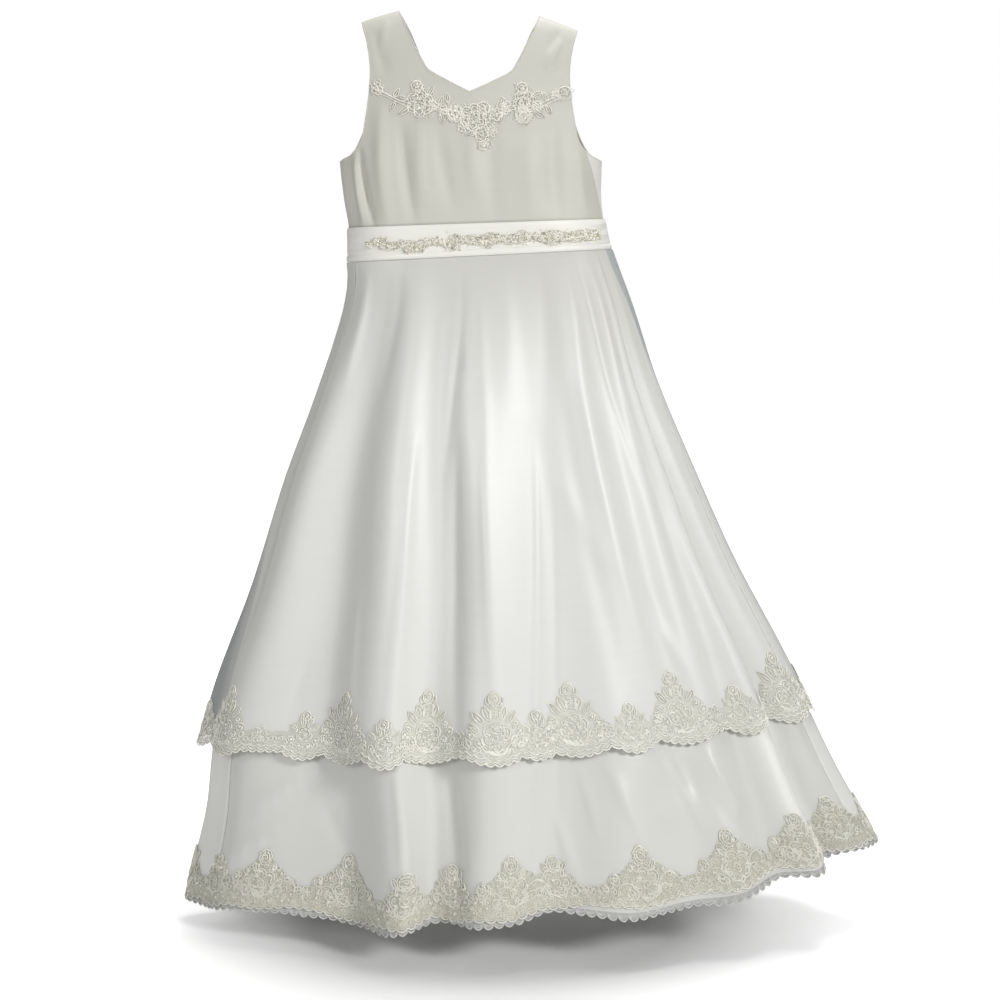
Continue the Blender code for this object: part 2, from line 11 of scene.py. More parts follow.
import bmesh
import bpy
import numpy as np
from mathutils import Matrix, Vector


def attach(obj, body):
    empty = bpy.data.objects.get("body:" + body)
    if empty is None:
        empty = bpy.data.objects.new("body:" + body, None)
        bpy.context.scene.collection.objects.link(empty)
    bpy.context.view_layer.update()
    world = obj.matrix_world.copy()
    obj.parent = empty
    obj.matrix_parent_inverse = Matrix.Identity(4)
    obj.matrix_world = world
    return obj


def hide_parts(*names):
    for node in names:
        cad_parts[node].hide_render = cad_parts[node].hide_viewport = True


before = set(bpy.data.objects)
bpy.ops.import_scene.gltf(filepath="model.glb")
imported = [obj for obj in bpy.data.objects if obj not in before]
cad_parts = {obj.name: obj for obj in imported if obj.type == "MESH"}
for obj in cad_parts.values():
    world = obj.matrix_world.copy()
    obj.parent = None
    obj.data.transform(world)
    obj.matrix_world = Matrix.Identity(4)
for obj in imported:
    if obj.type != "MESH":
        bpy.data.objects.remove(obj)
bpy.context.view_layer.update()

MM = 0.001
SEAM_GAP = 0.3
WAIST, BELT_BOTTOM, OVERSKIRT_HEM, SKIRT_HEM = 245.0, 282.0, 826.0, 1012.0
SKIRT_SEAM_RIGHT, SKIRT_SEAM_LEFT = 68.0, 75.5
BODICE_SEAM_RIGHT = (84.0, 84.0)  # bearings at the waist and under the arm
BODICE_SEAM_LEFT = (84.0, 60.0)
CENTRE_BACK = 180.0
BELT_PROUD = 2.4
BODICE_CLOTH, BELT_CLOTH, SKIRT_CLOTH, ORGANZA, NET = 1.4, 1.8, 1.0, 0.5, 0.35
CHEST_HALF_WIDTH, CHEST_DEPTH = 150.0, 62.0
GOLDEN_TURN, FULL_TURN = 2.39996, 6.28  # radians

# Columns of the tables that say how the cloth hangs
CENTRE, LEAN, HALF_WIDTH, AT_FRONT, AT_BACK, FULLNESS = range(1, 7)

OVERSKIRT_HANG = (
    # drop, centre, lean, half_width, front, back, fullness
    (282, 13.5, 2.8, 155, 66, 58, 0.22),
    (305, 18, 3, 158.5, 75, 66, 0.20),
    (346, 21, 3.3, 170, 90, 78, 0.14),
    (437, 19.5, 3.5, 200, 114, 97, 0),
    (528, 20.5, 3.5, 235.5, 132, 112, -0.08),
    (652, 27.5, 3.5, 282, 152, 128, -0.16),
    (765, 35, 3.4, 333, 167, 140, -0.22),
    (850, 44, 3, 366, 177, 149, -0.24),
)
SKIRT_HANG = (
    # drop, centre, lean, half_width, front, back, fullness
    (282, 13.5, 2.8, 152.8, 63.8, 55.8, 0.22),
    (305, 17, 3, 155, 72, 63, 0.20),
    (346, 18, 3.3, 163, 85.5, 73.5, 0.14),
    (437, 17, 3.5, 192, 107.5, 90.5, 0),
    (528, 20, 3.5, 227, 124.5, 104.5, -0.08),
    (652, 29, 3.5, 272, 143, 119, -0.16),
    (765, 39.5, 3.4, 324, 157, 130, -0.22),
    (845, 50, 3.4, 352, 167, 140, -0.24),
    (912, 60, 4.4, 371, 174, 147, -0.26),
    (994, 71, 4.7, 403, 182, 156, -0.28),
    (1030, 76.5, 4.8, 415, 186, 160, -0.28),
)
BODICE_HANG = (
    # drop, centre, lean, half_width
    (0, 2, -2.3, 151.5),
    (90, 3, -1.5, 151.5),
    (174, 3.5, 0, 151.5),
    (215, 5.5, 1, 149),
    (245, 9.5, 1.9, 148),
    (285, 13.5, 2.8, 152),
)
BODICE_DEPTH = (
    # below_shoulder, front, back
    (0, 0, 0),
    (0.5, 6, 6),
    (5, 13, 13),
    (18, 23, 24),
    (45, 36, 38),
    (80, 48, 50),
    (120, 59, 58),
    (160, 67, 61),
    (215, 67, 57),
    (270, 63, 55),
)
CHEST_FULLNESS = 0.22
SHOULDER_INNER, SHOULDER_OUTER = (32.5, 6.0), (54.6, 20.0)  # bearing, drop
ARMHOLE = (
    # bearing, drop, from the front of the shoulder round the underarm to the back of it
    (54.6, 20), (50.5, 44), (48.4, 72), (49.2, 99), (51.4, 126), (54.2, 149), (59.5, 162), (70, 170),
    (90, 174.5), (108, 169.5), (119, 154), (127, 124), (131, 90), (131, 52), (125.4, 20),
)
FRONT_YOKE = {"armhole_row": 5, "centre_drop": 140.0}
BACK_YOKE = {"armhole_row": 10, "centre_drop": 150.0}
FRONT_NECK = (
    # out from the centre, drop, from the point of the V to the shoulder
    (0, 98), (22, 87), (46, 74), (55, 61), (65.5, 40), (74, 22), (81.5, 6),
)
BACK_NECK = (
    # out from the centre, drop, from the centre back to the shoulder
    (0, 122), (22, 116), (40, 98), (52, 72), (62, 45), (71, 24), (81.5, 6),
)
# Steps in the bodice's grids
BODY_ROWS, YOKE_ROWS, CENTRE_ROWS, YOKE_COLUMNS = 36, 52, 14, 30

FOLDS = (
    # bearing under the belt, half way down, at the hem; how far it stands out there (a valley is negative)
    (-78, -78, -76, 0, -3, -5),
    (-63, -61, -60, 1.5, 9, 4),
    (-44, -40, -31, -2.5, -13, -13),
    (-28, -23.5, -20.5, 3, 13, 23),
    (-18, -12.5, -16, -2.5, -11, -13),
    (-4, -1, -7.5, 2, 12, 16),
    (19, 15.5, 4.5, -2, -7, -10),
    (33, 29, 15.5, 1, 5, 9),
    (43, 39, 28, -1, -4, -9),
    (51, 46, 36, 1.5, 3, 4),
    (55, 51, 44, 0, -3, -9),
    (58.5, 57, 52.5, 1, 3, 16),
    (61.5, 62, 60.5, -2, -6, -15),
    (68, 69, 74, 0.5, 3, 2),
    (98, 98, 97, 0.5, 5, 10),
    (115, 115, 114, -1, -6, -11),
    (129, 130, 130, 1.5, 8, 14),
    (146, 146, 145, -1.5, -7, -13),
    (161, 161, 160, 1.5, 8, 15),
    (180, 180, 179, -1.5, -7, -12),
    (198, 199, 200, 1.5, 8, 14),
    (214, 215, 215, -1.5, -6, -12),
    (229, 230, 231, 1.5, 7, 13),
    (247, 248, 248, -1, -6, -11),
    (264, 265, 266, 0.5, 4, 8),
)
FOLD_DROPS = (330.0, 620.0, SKIRT_HEM)
HEM_DIPS = (
    # bearing, how much lower the hem hangs there
    (-120, 0), (-90, 0), (-70, -3), (-54, -7), (-43, -6), (-34, 1), (-27, 6), (-19, 3), (-12, 1), (-3, 1),
    (3, -3), (9, 3), (16, 9), (24, 10), (32, 12), (39, 6), (45, 1), (52, 0), (60, -6), (68, -6), (84, -4),
    (110, 0),
)
DIP_FROM = 850.0  # the drop where the dips begin

SKIRT_CREASES = (
    # bearing and drop where it starts, and where it ends, half_width on its right and on its left, stands_out
    (-57, 292, -56, 420, 9, 7, 1.8),
    (-36, 290, -37, 430, 8, 8, -1.2),
    (-9, 290, -11, 520, 4, 7, -1.6),
    (-2, 330, 0, 470, 4, 7, 1.2),
    (8, 288, 9, 470, 12, 10, 1.2),
    (25, 288, 21, 480, 10, 12, -1.4),
    (37, 286, 33, 520, 8, 9, 1.8),
    (44, 286, 47, 560, 4, 7, -2),
    (50, 288, 53, 660, 4, 8, 1.8),
    (60.8, 286, 61.5, 780, 2.5, 4, -2),
    (15, 500, 0.2, 1004, 4, 7, 3.2),
    (18.5, 540, 3.5, 1000, 6, 4, -1.8),
    (19, 520, 31, 660, 11, 14, 1.4),
    (34, 640, 41, 780, 6, 9, 1.8),
    (-21, 470, -20, 860, 6, 8, 4),
    (-8, 480, -8.5, 860, 7, 7, -3.2),
    (0, 420, -1, 860, 6, 12, 3.4),
    (26, 420, 24.5, 860, 12, 12, -3),
    (33, 420, 31, 860, 9, 18, 5),
    (-7, 392, -5, 408, 3, 4, 1.2),
    (-33, 640, -29, 800, 5, 6, 1.5),
    (-44, 720, -46, 800, 6, 8, -1),
)
HEM_CREASES = (
    # those of the satin under the overskirt, and down to its hem
    (-68.6, 800, -68.6, 1010, 1.8, 2.4, 2.4),
    (-21, 830, -19.5, 1012, 5, 6.5, 4.2),
    (-11.8, 830, -11.2, 1012, 8, 8, -5),
    (38, 850, 41, 930, 4, 8, 2.6),
    (42, 905, 38, 955, 4.5, 7, 2),
    (12, 850, 13, 940, 4, 7, 1.8),
    (-57, 905, -36, 842, 4, 9, 3.4),
    (-63, 955, -44, 915, 3, 7, 2.8),
    (-40, 880, -30, 960, 9, 9, -1.6),
    (17, 846, 21, 960, 7, 10, 3.1),
    (23, 854, 31, 878, 5, 7, 2.6),
    (29, 842, 33, 950, 5, 9, 3),
    (32, 850, 40, 885, 6, 8, 2.2),
    (36, 905, 41, 965, 6, 6, -2.2),
    (22, 890, 29, 955, 6, 6, -2.6),
    (20, 925, 36, 905, 6, 7, 3.1),
    (6, 900, 8, 990, 5, 7, 2.7),
    (118, 850, 128, 960, 8, 8, 1.8),
    (165, 860, 158, 970, 8, 10, 2),
    (205, 850, 214, 950, 8, 8, -1.8),
    (240, 870, 230, 940, 9, 9, 1.8),
)
BACK_CREASES = (
    # columns as above, here and in the next two
    (104, 290, 101, 600, 10, 14, 2.2),
    (121, 288, 122, 520, 12, 10, 2),
    (137, 288, 138, 480, 10, 12, -2),
    (153, 288, 152, 560, 12, 10, 2.2),
    (170, 288, 169, 500, 9, 12, -1.8),
    (190, 288, 191, 540, 12, 9, 2),
    (206, 288, 207, 470, 10, 10, -2),
    (222, 288, 222, 560, 10, 12, 2.4),
    (238, 288, 239, 460, 12, 12, -1.8),
    (255, 290, 257, 620, 12, 9, 2.2),
)
BODICE_CREASES = (
    (-79, 172, -74, 243, 4, 5, 2.1),
    (-68, 158, -66.5, 246, 6, 5, -3.9),
    (-60.5, 170, -60, 246, 4, 4, 3.2),
    (-56.5, 160, -52, 247, 4, 4, -5.6),
    (-41, 110, -42, 250, 10, 8, 4.5),
    (-31, 128, -28, 250, 6, 6, -5),
    (-22, 130, -22, 225, 6, 6, 3.2),
    (-14, 132, -9, 235, 7, 8, -4.1),
    (0, 140, 1, 215, 7, 8, 3.5),
    (9, 128, 9, 250, 8, 9, -3.5),
    (26, 140, 27, 250, 12, 10, 3.1),
    (37, 120, 41, 250, 9, 9, -4.1),
    (52, 150, 60, 245, 6, 8, 3.1),
    (-22, 226, -16, 206, 2.5, 3, 1.4),
    (-46, 30, -39, 84, 6, 8, -1.6),
    (-38, 18, -44, 60, 5, 6, 1.3),
    (35, 70, 44, 34, 4, 7, 2.3),
    (40, 76, 47, 56, 3, 5, -1.8),
    (36, 48, 43, 22, 3, 5, -1.6),
    (120, 180, 118, 245, 8, 8, 2.3),
    (138, 170, 141, 245, 8, 8, -2.3),
    (156, 160, 155, 245, 9, 8, 2.1),
    (205, 165, 207, 245, 8, 8, 2.3),
    (224, 170, 220, 245, 8, 8, -2.3),
    (243, 180, 246, 245, 8, 8, 2.1),
)
BELT_CREASES = (
    (58, 252, 84, 250, 1.1, 1.4, 1.3),
    (52, 259, 84, 256.5, 1.1, 1.6, -1.1),
    (56, 265, 84, 262.5, 1.1, 1.4, 1.3),
    (60, 271, 84, 269, 1.1, 1.4, -1),
    (-84, 256, -62, 259, 1.2, 1.8, 1.1),
    (-84, 267, -58, 270, 1.2, 1.8, -1),
    (-20, 250, 12, 248.5, 1.2, 1.6, 0.8),
    (-60, 274, -10, 276, 1, 1.6, -0.8),
    (120, 256, 170, 258, 1.2, 1.8, 1),
    (192, 268, 240, 266, 1.2, 1.8, -1),
)

# Lace borders. raised: between which bearings the lower edge is raised, and how much
OVERSKIRT_LACE = {
    "bottom": 830.0, "swag": 9.0, "valley": 21.0, "pitch": 62.0, "scallop": 10.5, "raised": (0.0, 0.0, 0.0),
}
SKIRT_LACE = {
    "bottom": 1008.5, "swag": 3.0, "valley": 22.0, "pitch": 66.0, "scallop": 12.4, "raised": (4.0, 62.0, 6.0),
}
GROUND_LIFT, NET_ROWS = 0.45, 12
OVERSKIRT_MOTIFS = (
    # bearing, size, mirrored
    (-66, "large", 1), (-41, "small", 1), (-31, "large", 1), (-21.5, "small", -1), (-14, "large", 1),
    (-1, "large", 1), (6.5, "small", 1), (13.5, "large", 1), (24.5, "small", 1), (35.5, "large", 1),
    (51, "small", -1), (71, "large", 1),
)
SKIRT_MOTIFS = (
    (-67, "small", 1), (-51, "large", 1), (-32, "large", 1), (-20, "small", 1), (-12.5, "small", -1),
    (-2.5, "large", 1), (4.5, "small", -1), (19, "large", 1), (36, "large", 1), (52, "large", 1),
    (68.5, "large", 1),
)
# The upper edge of the net over a motif: along, height
OVERSKIRT_OUTLINE = {
    "large": (
        (-36, 18), (-34, 27), (-31, 36), (-26, 43), (-19, 52), (-12, 60), (-7, 66), (-4, 75), (1, 78),
        (6, 75), (8, 66), (13, 58), (20, 50), (26, 43), (31, 36), (34, 26), (36, 18),
    ),
    "small": (
        (-23, 19), (-19, 31), (-12, 38), (-9, 45), (-5, 50), (0, 52), (5, 50), (9, 45), (12, 38), (23, 19),
    ),
}
SKIRT_OUTLINE = {
    "large": (
        (-47, 20), (-43, 29), (-38, 38), (-32, 36), (-26, 39), (-20, 46), (-13, 49), (-9, 58), (-5, 65),
        (0, 67), (5, 65), (9, 57), (13, 49), (20, 46), (26, 39), (31, 33), (37, 29), (42, 31), (47, 22),
    ),
    "small": (
        (-27, 20), (-20, 34), (-12, 40), (-7, 50), (-3, 56), (1, 57), (5, 55), (9, 46), (14, 40), (22, 35),
        (28, 21),
    ),
}

SPRAY = (
    # shape, out, drop, size
    ("flower", -105.5, 96, 7), ("loop", -59.7, 93, 6.2), ("rose", -56.3, 112, 15),
    ("flower", -41, 114, 5.5), ("flower", -29, 119, 5), ("rose", -16.2, 123, 9.5), ("rose", 4.4, 127, 15),
    ("loop", 15, 116, 7), ("flower", 28.5, 123, 7.5), ("flower", 13.1, 145, 8), ("flower", 25, 142, 6),
    ("loop", 14.7, 158, 5), ("flower", -8, 138, 6), ("flower", 40, 118, 5), ("loop", 58.7, 92, 6.2),
    ("rose", 61.7, 108, 13), ("rose", 60.5, 123, 9.5), ("flower", 76, 112, 6), ("loop", 107.5, 95.5, 7.5),
    ("flower", 97, 99, 5),
)
LEAVES = (
    # out, drop, length, angle, width
    (-86, 106, 12, 60, 5), (-84, 110, 12, 240, 5), (-34, 115, 12, 70, 5), (-34, 122, 13, 290, 5),
    (40, 114, 12, 110, 5), (38, 121, 13, 250, 5), (88, 106, 12, 120, 5), (86, 110, 12, 300, 5),
    (8, 143, 13, 200, 5.5), (20, 150, 12, 290, 5), (-98, 99, 12, 150, 5), (-68, 116, 16, 215, 6.5),
    (-70, 108, 14, 170, 5.5), (-48, 104, 13, 60, 5.5), (-24, 112, 12, 100, 5), (18, 132, 14, 320, 6),
    (30, 116, 12, 50, 5), (72, 118, 15, 330, 6), (70, 102, 13, 30, 5.5), (47, 110, 13, 190, 5),
)
STEMS = (
    ((-105, 97), (-92, 103), (-80, 109), (-68, 112)),
    ((-103, 101), (-91, 106), (-79, 112), (-68, 117)),
    ((-44, 112), (-34, 117), (-24, 119), (-14, 121)),
    ((-44, 117), (-34, 121), (-24, 124), (-14, 126)),
    ((22, 120), (32, 118), (42, 114), (52, 112)),
    ((22, 126), (32, 122), (42, 119), (52, 116)),
    ((72, 112), (84, 107), (95, 101), (107, 97)),
    ((72, 116), (84, 111), (95, 105), (104, 101)),
)
BELT_CLUSTERS = (
    # bearing, drop, size
    (-54, 264, 3.4), (-46, 263, 7), (-38.5, 266, 4), (-31, 268.5, 5.4), (-25, 267, 6.6), (-17.5, 264, 5),
    (-10, 265, 7.4), (-2.5, 263.5, 4.6), (5, 264, 7.6), (13, 264.5, 4.4), (19.5, 263, 6.4), (27, 263, 4.4),
    (34, 264, 7.2), (41.5, 264, 5.4), (49, 264, 6.8), (57, 264, 5.8), (64.5, 263.5, 4.6),
)

# Painted highlight: the lightest satin colour is laid along the shining fold by the left side seam.
# Painted light: the back panels' satin is the front's satin made lighter, standing in for light falling on
# them.
SATIN_WHITE, PAINTED_LIGHT_BACK_SATIN, PAINTED_HIGHLIGHT_SATIN = (0.63, 0.63, 0.60), (0.75, 0.75, 0.715), (0.84, 0.84, 0.80)
# Painted light: the second bodice colour lightens the side panel under the left arm.
# Painted shadow: the third bodice colour darkens the bodice just above the belt.
BODICE_WHITE, PAINTED_LIGHT_BODICE, PAINTED_BELT_SHADOW = (0.615, 0.607, 0.54), (0.80, 0.79, 0.745), (0.38, 0.37, 0.33)
# Painted shade: the second organza colour darkens and warms the organza under the belt.
ORGANZA_WHITE, WARM_SHADE_ORGANZA = (0.78, 0.78, 0.75), (0.62, 0.61, 0.545)
# Painted shade: the overskirt is coloured grey on its right side, and cool grey on its left side under the
# belt and at its edge.
SHADED_ORGANZA, COOL_SHADE_ORGANZA = (0.42, 0.43, 0.435), (0.44, 0.475, 0.485)
BELT_WHITE = (0.84, 0.83, 0.775)
LACE_GROUND, LACE_HOLES = (0.80, 0.80, 0.73), (0.66, 0.66, 0.57)
DENSE_GROUND, DENSE_HOLES = (0.54, 0.535, 0.455), (0.38, 0.375, 0.305)
# Painted shade: the edging under the hem is coloured grey for the shade it hangs in; its darker holes are its
# pattern.
PAINTED_SHADE_EDGING_GROUND, PAINTED_SHADE_EDGING_HOLES = (0.46, 0.46, 0.455), (0.30, 0.30, 0.30)
LACE_CORD, BEIGE_CORD, PAINTED_SHADE_EDGING_CORD = (0.835, 0.825, 0.75), (0.77, 0.76, 0.67), (0.66, 0.66, 0.64)
CREAM_THREAD, SILVER_THREAD = (0.90, 0.87, 0.79), (0.58, 0.56, 0.45)
PEARL, SILVER_BEAD = (0.92, 0.89, 0.81), (0.60, 0.57, 0.45)


# Forms of the cloth, on arrays of bearings and drops


def read(table, at, column):
    """A smooth curve through one column of a table, by its first column."""
    rows = np.array(table, float)
    keys, values = rows[:, 0], rows[:, column]
    rates = np.empty(len(keys))
    rates[1:-1] = (values[2:] - values[:-2]) / (keys[2:] - keys[:-2])
    rates[0] = (values[1] - values[0]) / (keys[1] - keys[0])
    rates[-1] = (values[-1] - values[-2]) / (keys[-1] - keys[-2])
    at = np.clip(at, keys[0], keys[-1])
    i = np.clip(np.searchsorted(keys, at, side="right") - 1, 0, len(keys) - 2)
    span = keys[i + 1] - keys[i]
    t = (at - keys[i]) / span
    start, rise = values[i], values[i + 1] - values[i]
    bend = t * (1 - t) * ((1 - t) * (rates[i] * span - rise) - t * (rates[i + 1] * span - rise))
    return start + rise * t + bend


def along(table, share):
    """A point on the smooth curve through a table's rows, by its share of the rows passed."""
    rows = [(k / (len(table) - 1), *row) for k, row in enumerate(table)]
    return float(read(rows, share, 1)), float(read(rows, share, 2))


def paired(bearing, drop):
    return np.broadcast_arrays(np.asarray(bearing, float), np.asarray(drop, float))


def stood(hang, drop, across, forward):
    """Points at a drop, by how far across and forward of the dress's leaning centre they are."""
    turn = np.radians(read(hang, drop, LEAN))
    centre = read(hang, drop, CENTRE)
    return np.stack([centre + across * np.cos(turn), -forward, -drop + across * np.sin(turn)], axis=-1)


def wrapped(angle):
    return (angle + 180.0) % 360.0 - 180.0


def eased(value):
    value = np.clip(value, 0.0, 1.0)
    return value * value * (3 - 2 * value)


def hump(at, middle, width):
    return np.exp(-(((at - middle) / width) ** 2))


def oval_pace(bearing, half_width, depth):
    """Millimetres for each degree round an oval, at a bearing."""
    turn = math.radians(bearing)
    return math.hypot(half_width * math.cos(turn), depth * math.sin(turn)) * math.pi / 180


def fold_height(bearing, drop):
    """Soft waves between the lines of crests and valleys."""
    lines = []
    for row in FOLDS:
        keys = [(BELT_BOTTOM, row[0], 0.0)] + [(FOLD_DROPS[k], row[k], row[k + 3]) for k in range(3)]
        lines.append((read(keys, drop, 1), read(keys, drop, 2)))
    first, height = lines[0]
    away = (bearing - first) % 360.0
    lines.append((first + 360.0, height))
    for (here, low), (there, high) in zip(lines, lines[1:]):
        share = np.clip((away - (here - first)) / (there - here), 0.0, 1.0)
        height = height + (high - low) * (1 - np.cos(math.pi * share)) / 2
    return height


def skirt_form(hang):
    def place(bearing, drop):
        bearing, drop = paired(bearing, drop)
        low = np.clip((drop - DIP_FROM) / (SKIRT_HEM - DIP_FROM), 0.0, None)
        drop = drop + read(HEM_DIPS, wrapped(bearing), 1) * low**1.5
        turn = np.radians(bearing)
        half_width = read(hang, drop, HALF_WIDTH)
        deep = np.where(np.cos(turn) > 0, read(hang, drop, AT_FRONT), read(hang, drop, AT_BACK))
        across, forward = half_width * np.sin(turn), deep * np.cos(turn)
        forward = forward * (1 + read(hang, drop, FULLNESS) * np.sin(turn) ** 2)
        out_x, out_y = np.sin(turn) / half_width, np.cos(turn) / deep
        reach = fold_height(bearing, drop) / np.hypot(out_x, out_y)
        return stood(hang, drop, across + out_x * reach, forward + out_y * reach)

    return place


def shoulder_drop(sideways):
    (inner, top), (outer, low) = SHOULDER_INNER, SHOULDER_OUTER
    return top + (low - top) * (np.degrees(np.arcsin(np.clip(sideways, -1, 1))) - inner) / (outer - inner)


def bodice_form(bearing, drop):
    bearing, drop = paired(bearing, drop)
    turn = np.radians(bearing)
    across = read(BODICE_HANG, drop, HALF_WIDTH) * np.sin(turn)
    below = np.maximum(drop - shoulder_drop(np.abs(np.sin(turn))) + SEAM_GAP, 0.0)
    facing = np.cos(turn)
    deep = np.where(facing > 0, read(BODICE_DEPTH, below, 1), read(BODICE_DEPTH, below, 2))
    forward = deep * facing * (1 + CHEST_FULLNESS * np.sin(turn) ** 2)
    apart = np.copysign(SEAM_GAP / 2, facing) * np.minimum(1.0, np.abs(facing) * 8)
    return stood(BODICE_HANG, drop, across, forward + apart)


def lifted(form, bearing, drop, lift):
    """Points on the cloth, moved out square to it by lift."""
    here = form(bearing, drop)
    around = form(bearing + 0.05, drop) - form(bearing - 0.05, drop)
    down = form(bearing, drop + 0.4) - here
    out = np.cross(down, around)
    out /= np.maximum(np.linalg.norm(out, axis=-1, keepdims=True), 1e-12)
    return here + out * np.asarray(lift, float)[..., None]


def creases(table, hang, depth):
    """Soft ridges and troughs that fade at their ends. A ridge can be steeper on one side."""

    def relief(bearing, drop):
        height = 0.0
        for b0, d0, b1, d1, right, left, stands_out in table:
            pace = oval_pace((b0 + b1) / 2, float(read(hang, (d0 + d1) / 2, HALF_WIDTH)), depth)
            x, y = wrapped(bearing - b0) * pace, drop - d0
            run_x, run_y = (b1 - b0) * pace, d1 - d0
            length = math.hypot(run_x, run_y)
            share = np.clip((x * run_x + y * run_y) / length**2, 0.0, 1.0)
            aside = (x * run_y - y * run_x) / length
            width = np.where(aside > 0, left, right)
            height = height + stands_out * np.sin(math.pi * share) ** 0.7 * hump(aside, 0.0, width)
        return height

    return relief


def seam_relief(pace, depth, press):
    """The skirt's pressed seams: the cloth dips into each and stands up a little beside it."""

    def relief(bearing, drop):
        height = 0.0
        for seam in (-SKIRT_SEAM_RIGHT, SKIRT_SEAM_LEFT, CENTRE_BACK):
            away = np.abs(wrapped(bearing - seam)) * pace
            height = height - depth * hump(away, 0.0, 1.6) + press * hump(away, 4.5, 2.2)
        return height

    return relief


def belt_lips(bearing, drop):
    """The belt's cross-section: turned lips at both edges, and the fold along its lower one."""
    down = (drop - WAIST) / (BELT_BOTTOM - WAIST)
    edges = -1.1 * hump(down, 0.0, 0.05) - 1.1 * hump(down, 1.0, 0.05)
    fold = hump(down, 0.91, 0.05) - 0.7 * hump(down, 0.8, 0.045)
    return edges + fold


def worked(form, *reliefs):
    """A form with reliefs on it."""

    def place(bearing, drop):
        bearing, drop = paired(bearing, drop)
        return lifted(form, bearing, drop, sum(relief(bearing, drop) for relief in reliefs))

    return place


skirt = worked(
    skirt_form(SKIRT_HANG),
    creases(SKIRT_CREASES, SKIRT_HANG, 120.0),
    creases(HEM_CREASES, SKIRT_HANG, 150.0),
    creases(BACK_CREASES, SKIRT_HANG, 100.0),
    seam_relief(pace=3.6, depth=1.0, press=0.9),
)
overskirt = worked(
    skirt_form(OVERSKIRT_HANG),
    creases(SKIRT_CREASES, OVERSKIRT_HANG, 120.0),
    creases(BACK_CREASES, OVERSKIRT_HANG, 100.0),
    seam_relief(pace=3.4, depth=0.5, press=0.5),
)
bodice = worked(bodice_form, creases(BODICE_CREASES, BODICE_HANG, CHEST_DEPTH))
belt = worked(bodice_form, creases(BELT_CREASES, BODICE_HANG, CHEST_DEPTH), belt_lips)


# Meshes


def mesh_object(name, points, faces, material, uv=None, edge_angle=50.0):
    data = bpy.data.meshes.new(name)
    data.from_pydata((np.asarray(points) * MM).tolist(), [], faces)
    if uv is not None:
        layer = data.uv_layers.new(name="cloth")
        corners = np.empty(len(data.loops), np.int32)
        data.loops.foreach_get("vertex_index", corners)
        layer.data.foreach_set("uv", (np.asarray(uv)[corners] * MM).astype(np.float32).ravel())
    data.shade_smooth()
    data.set_sharp_from_angle(angle=math.radians(edge_angle))
    data.materials.append(material)
    thing = bpy.data.objects.new(name, data)
    bpy.context.scene.collection.objects.link(thing)
    return thing


def select_none():
    for other in bpy.context.selected_objects:
        other.select_set(False)


def thickened(thing, thickness):
    """Gives a single sheet its wall, on the inner side, and rims."""
    solidify = thing.modifiers.new("wall", "SOLIDIFY")
    solidify.thickness = thickness * MM
    solidify.offset = -1.0
    solidify.use_rim = True
    select_none()
    bpy.context.view_layer.objects.active = thing
    thing.select_set(True)
    bpy.ops.object.modifier_apply(modifier=solidify.name)
    thing.select_set(False)
    thing.data.set_sharp_from_angle(angle=math.radians(50))
    return thing


def sheet_mesh(name, form, grids, outer, thickness, material, tints=()):
    """A wall of cloth over grids, each a pair of arrays of bearings and drops.

    The tints, which paint light and shade into the colour, are functions of the same, kept on the mesh as
    values with their names.
    """
    places, uvs, faces, known, where = [], [], [], {}, []
    for bearings, drops in grids:
        points = lifted(form, bearings, drops, outer)
        steps = np.linalg.norm(np.diff(points, axis=1), axis=-1)
        run = np.concatenate([np.zeros((len(points), 1)), np.cumsum(steps, axis=1)], axis=1)
        run -= run[:, run.shape[1] // 2][:, None]
        index = np.empty(bearings.shape, int)
        for r, c in np.ndindex(bearings.shape):
            key = (round(float(bearings[r, c]), 4), round(float(drops[r, c]), 4))
            if key not in known:
                known[key] = len(places)
                places.append(points[r, c])
                uvs.append((run[r, c], -drops[r, c]))
                where.append((bearings[r, c], drops[r, c]))
            index[r, c] = known[key]
        r, c = bearings.shape[0] // 2, bearings.shape[1] // 2
        facing = np.cross(points[r, c] - points[r - 1, c], points[r, c] - points[r, c - 1])
        outward = points[r, c] - lifted(form, bearings[r, c], drops[r, c], outer - 1.0)
        turned = float(np.dot(facing, outward)) < 0
        for r, c in np.ndindex(bearings.shape[0] - 1, bearings.shape[1] - 1):
            corners = (index[r, c], index[r + 1, c], index[r + 1, c + 1], index[r, c + 1])
            corners = [int(k) for k in dict.fromkeys(corners)]
            if len(corners) > 2:
                faces.append(corners[::-1] if turned else corners)
    thing = mesh_object(name, places, faces, material, uvs)
    where = np.array(where)
    for tint in tints:
        layer = thing.data.attributes.new(tint.__name__, "FLOAT", "POINT")
        layer.data.foreach_set("value", tint(where[:, 0], where[:, 1]).astype(np.float32))
    return thickened(thing, thickness)


def spread(first, last, steps):
    return np.linspace(first, last, steps + 1)


def half_gap(form, bearing, drop):
    """Half of a seam's gap there, in degrees."""
    pace = np.linalg.norm(form(bearing + 0.5, drop) - form(bearing - 0.5, drop), axis=-1)
    return SEAM_GAP / 2 / pace


def panel_grid(form, bearings, drops, columns):
    """Columns between two seams."""
    first = bearings[0] + half_gap(form, bearings[0], drops)
    last = bearings[1] - half_gap(form, bearings[1], drops)
    share = spread(0.0, 1.0, columns)
    return first[:, None] + (last - first)[:, None] * share, np.repeat(drops[:, None], columns + 1, axis=1)


def bearing_of(out, drop):
    """The bearing, at the front, of a place this far out from the bodice's centre line."""
    return np.degrees(np.arcsin(out / read(BODICE_HANG, drop, HALF_WIDTH)))


def neck_edge(table, steps):
    places = [along(table, share) for share in spread(0.0, 1.0, steps)]
    return [(float(bearing_of(out, drop)), drop) for out, drop in places]


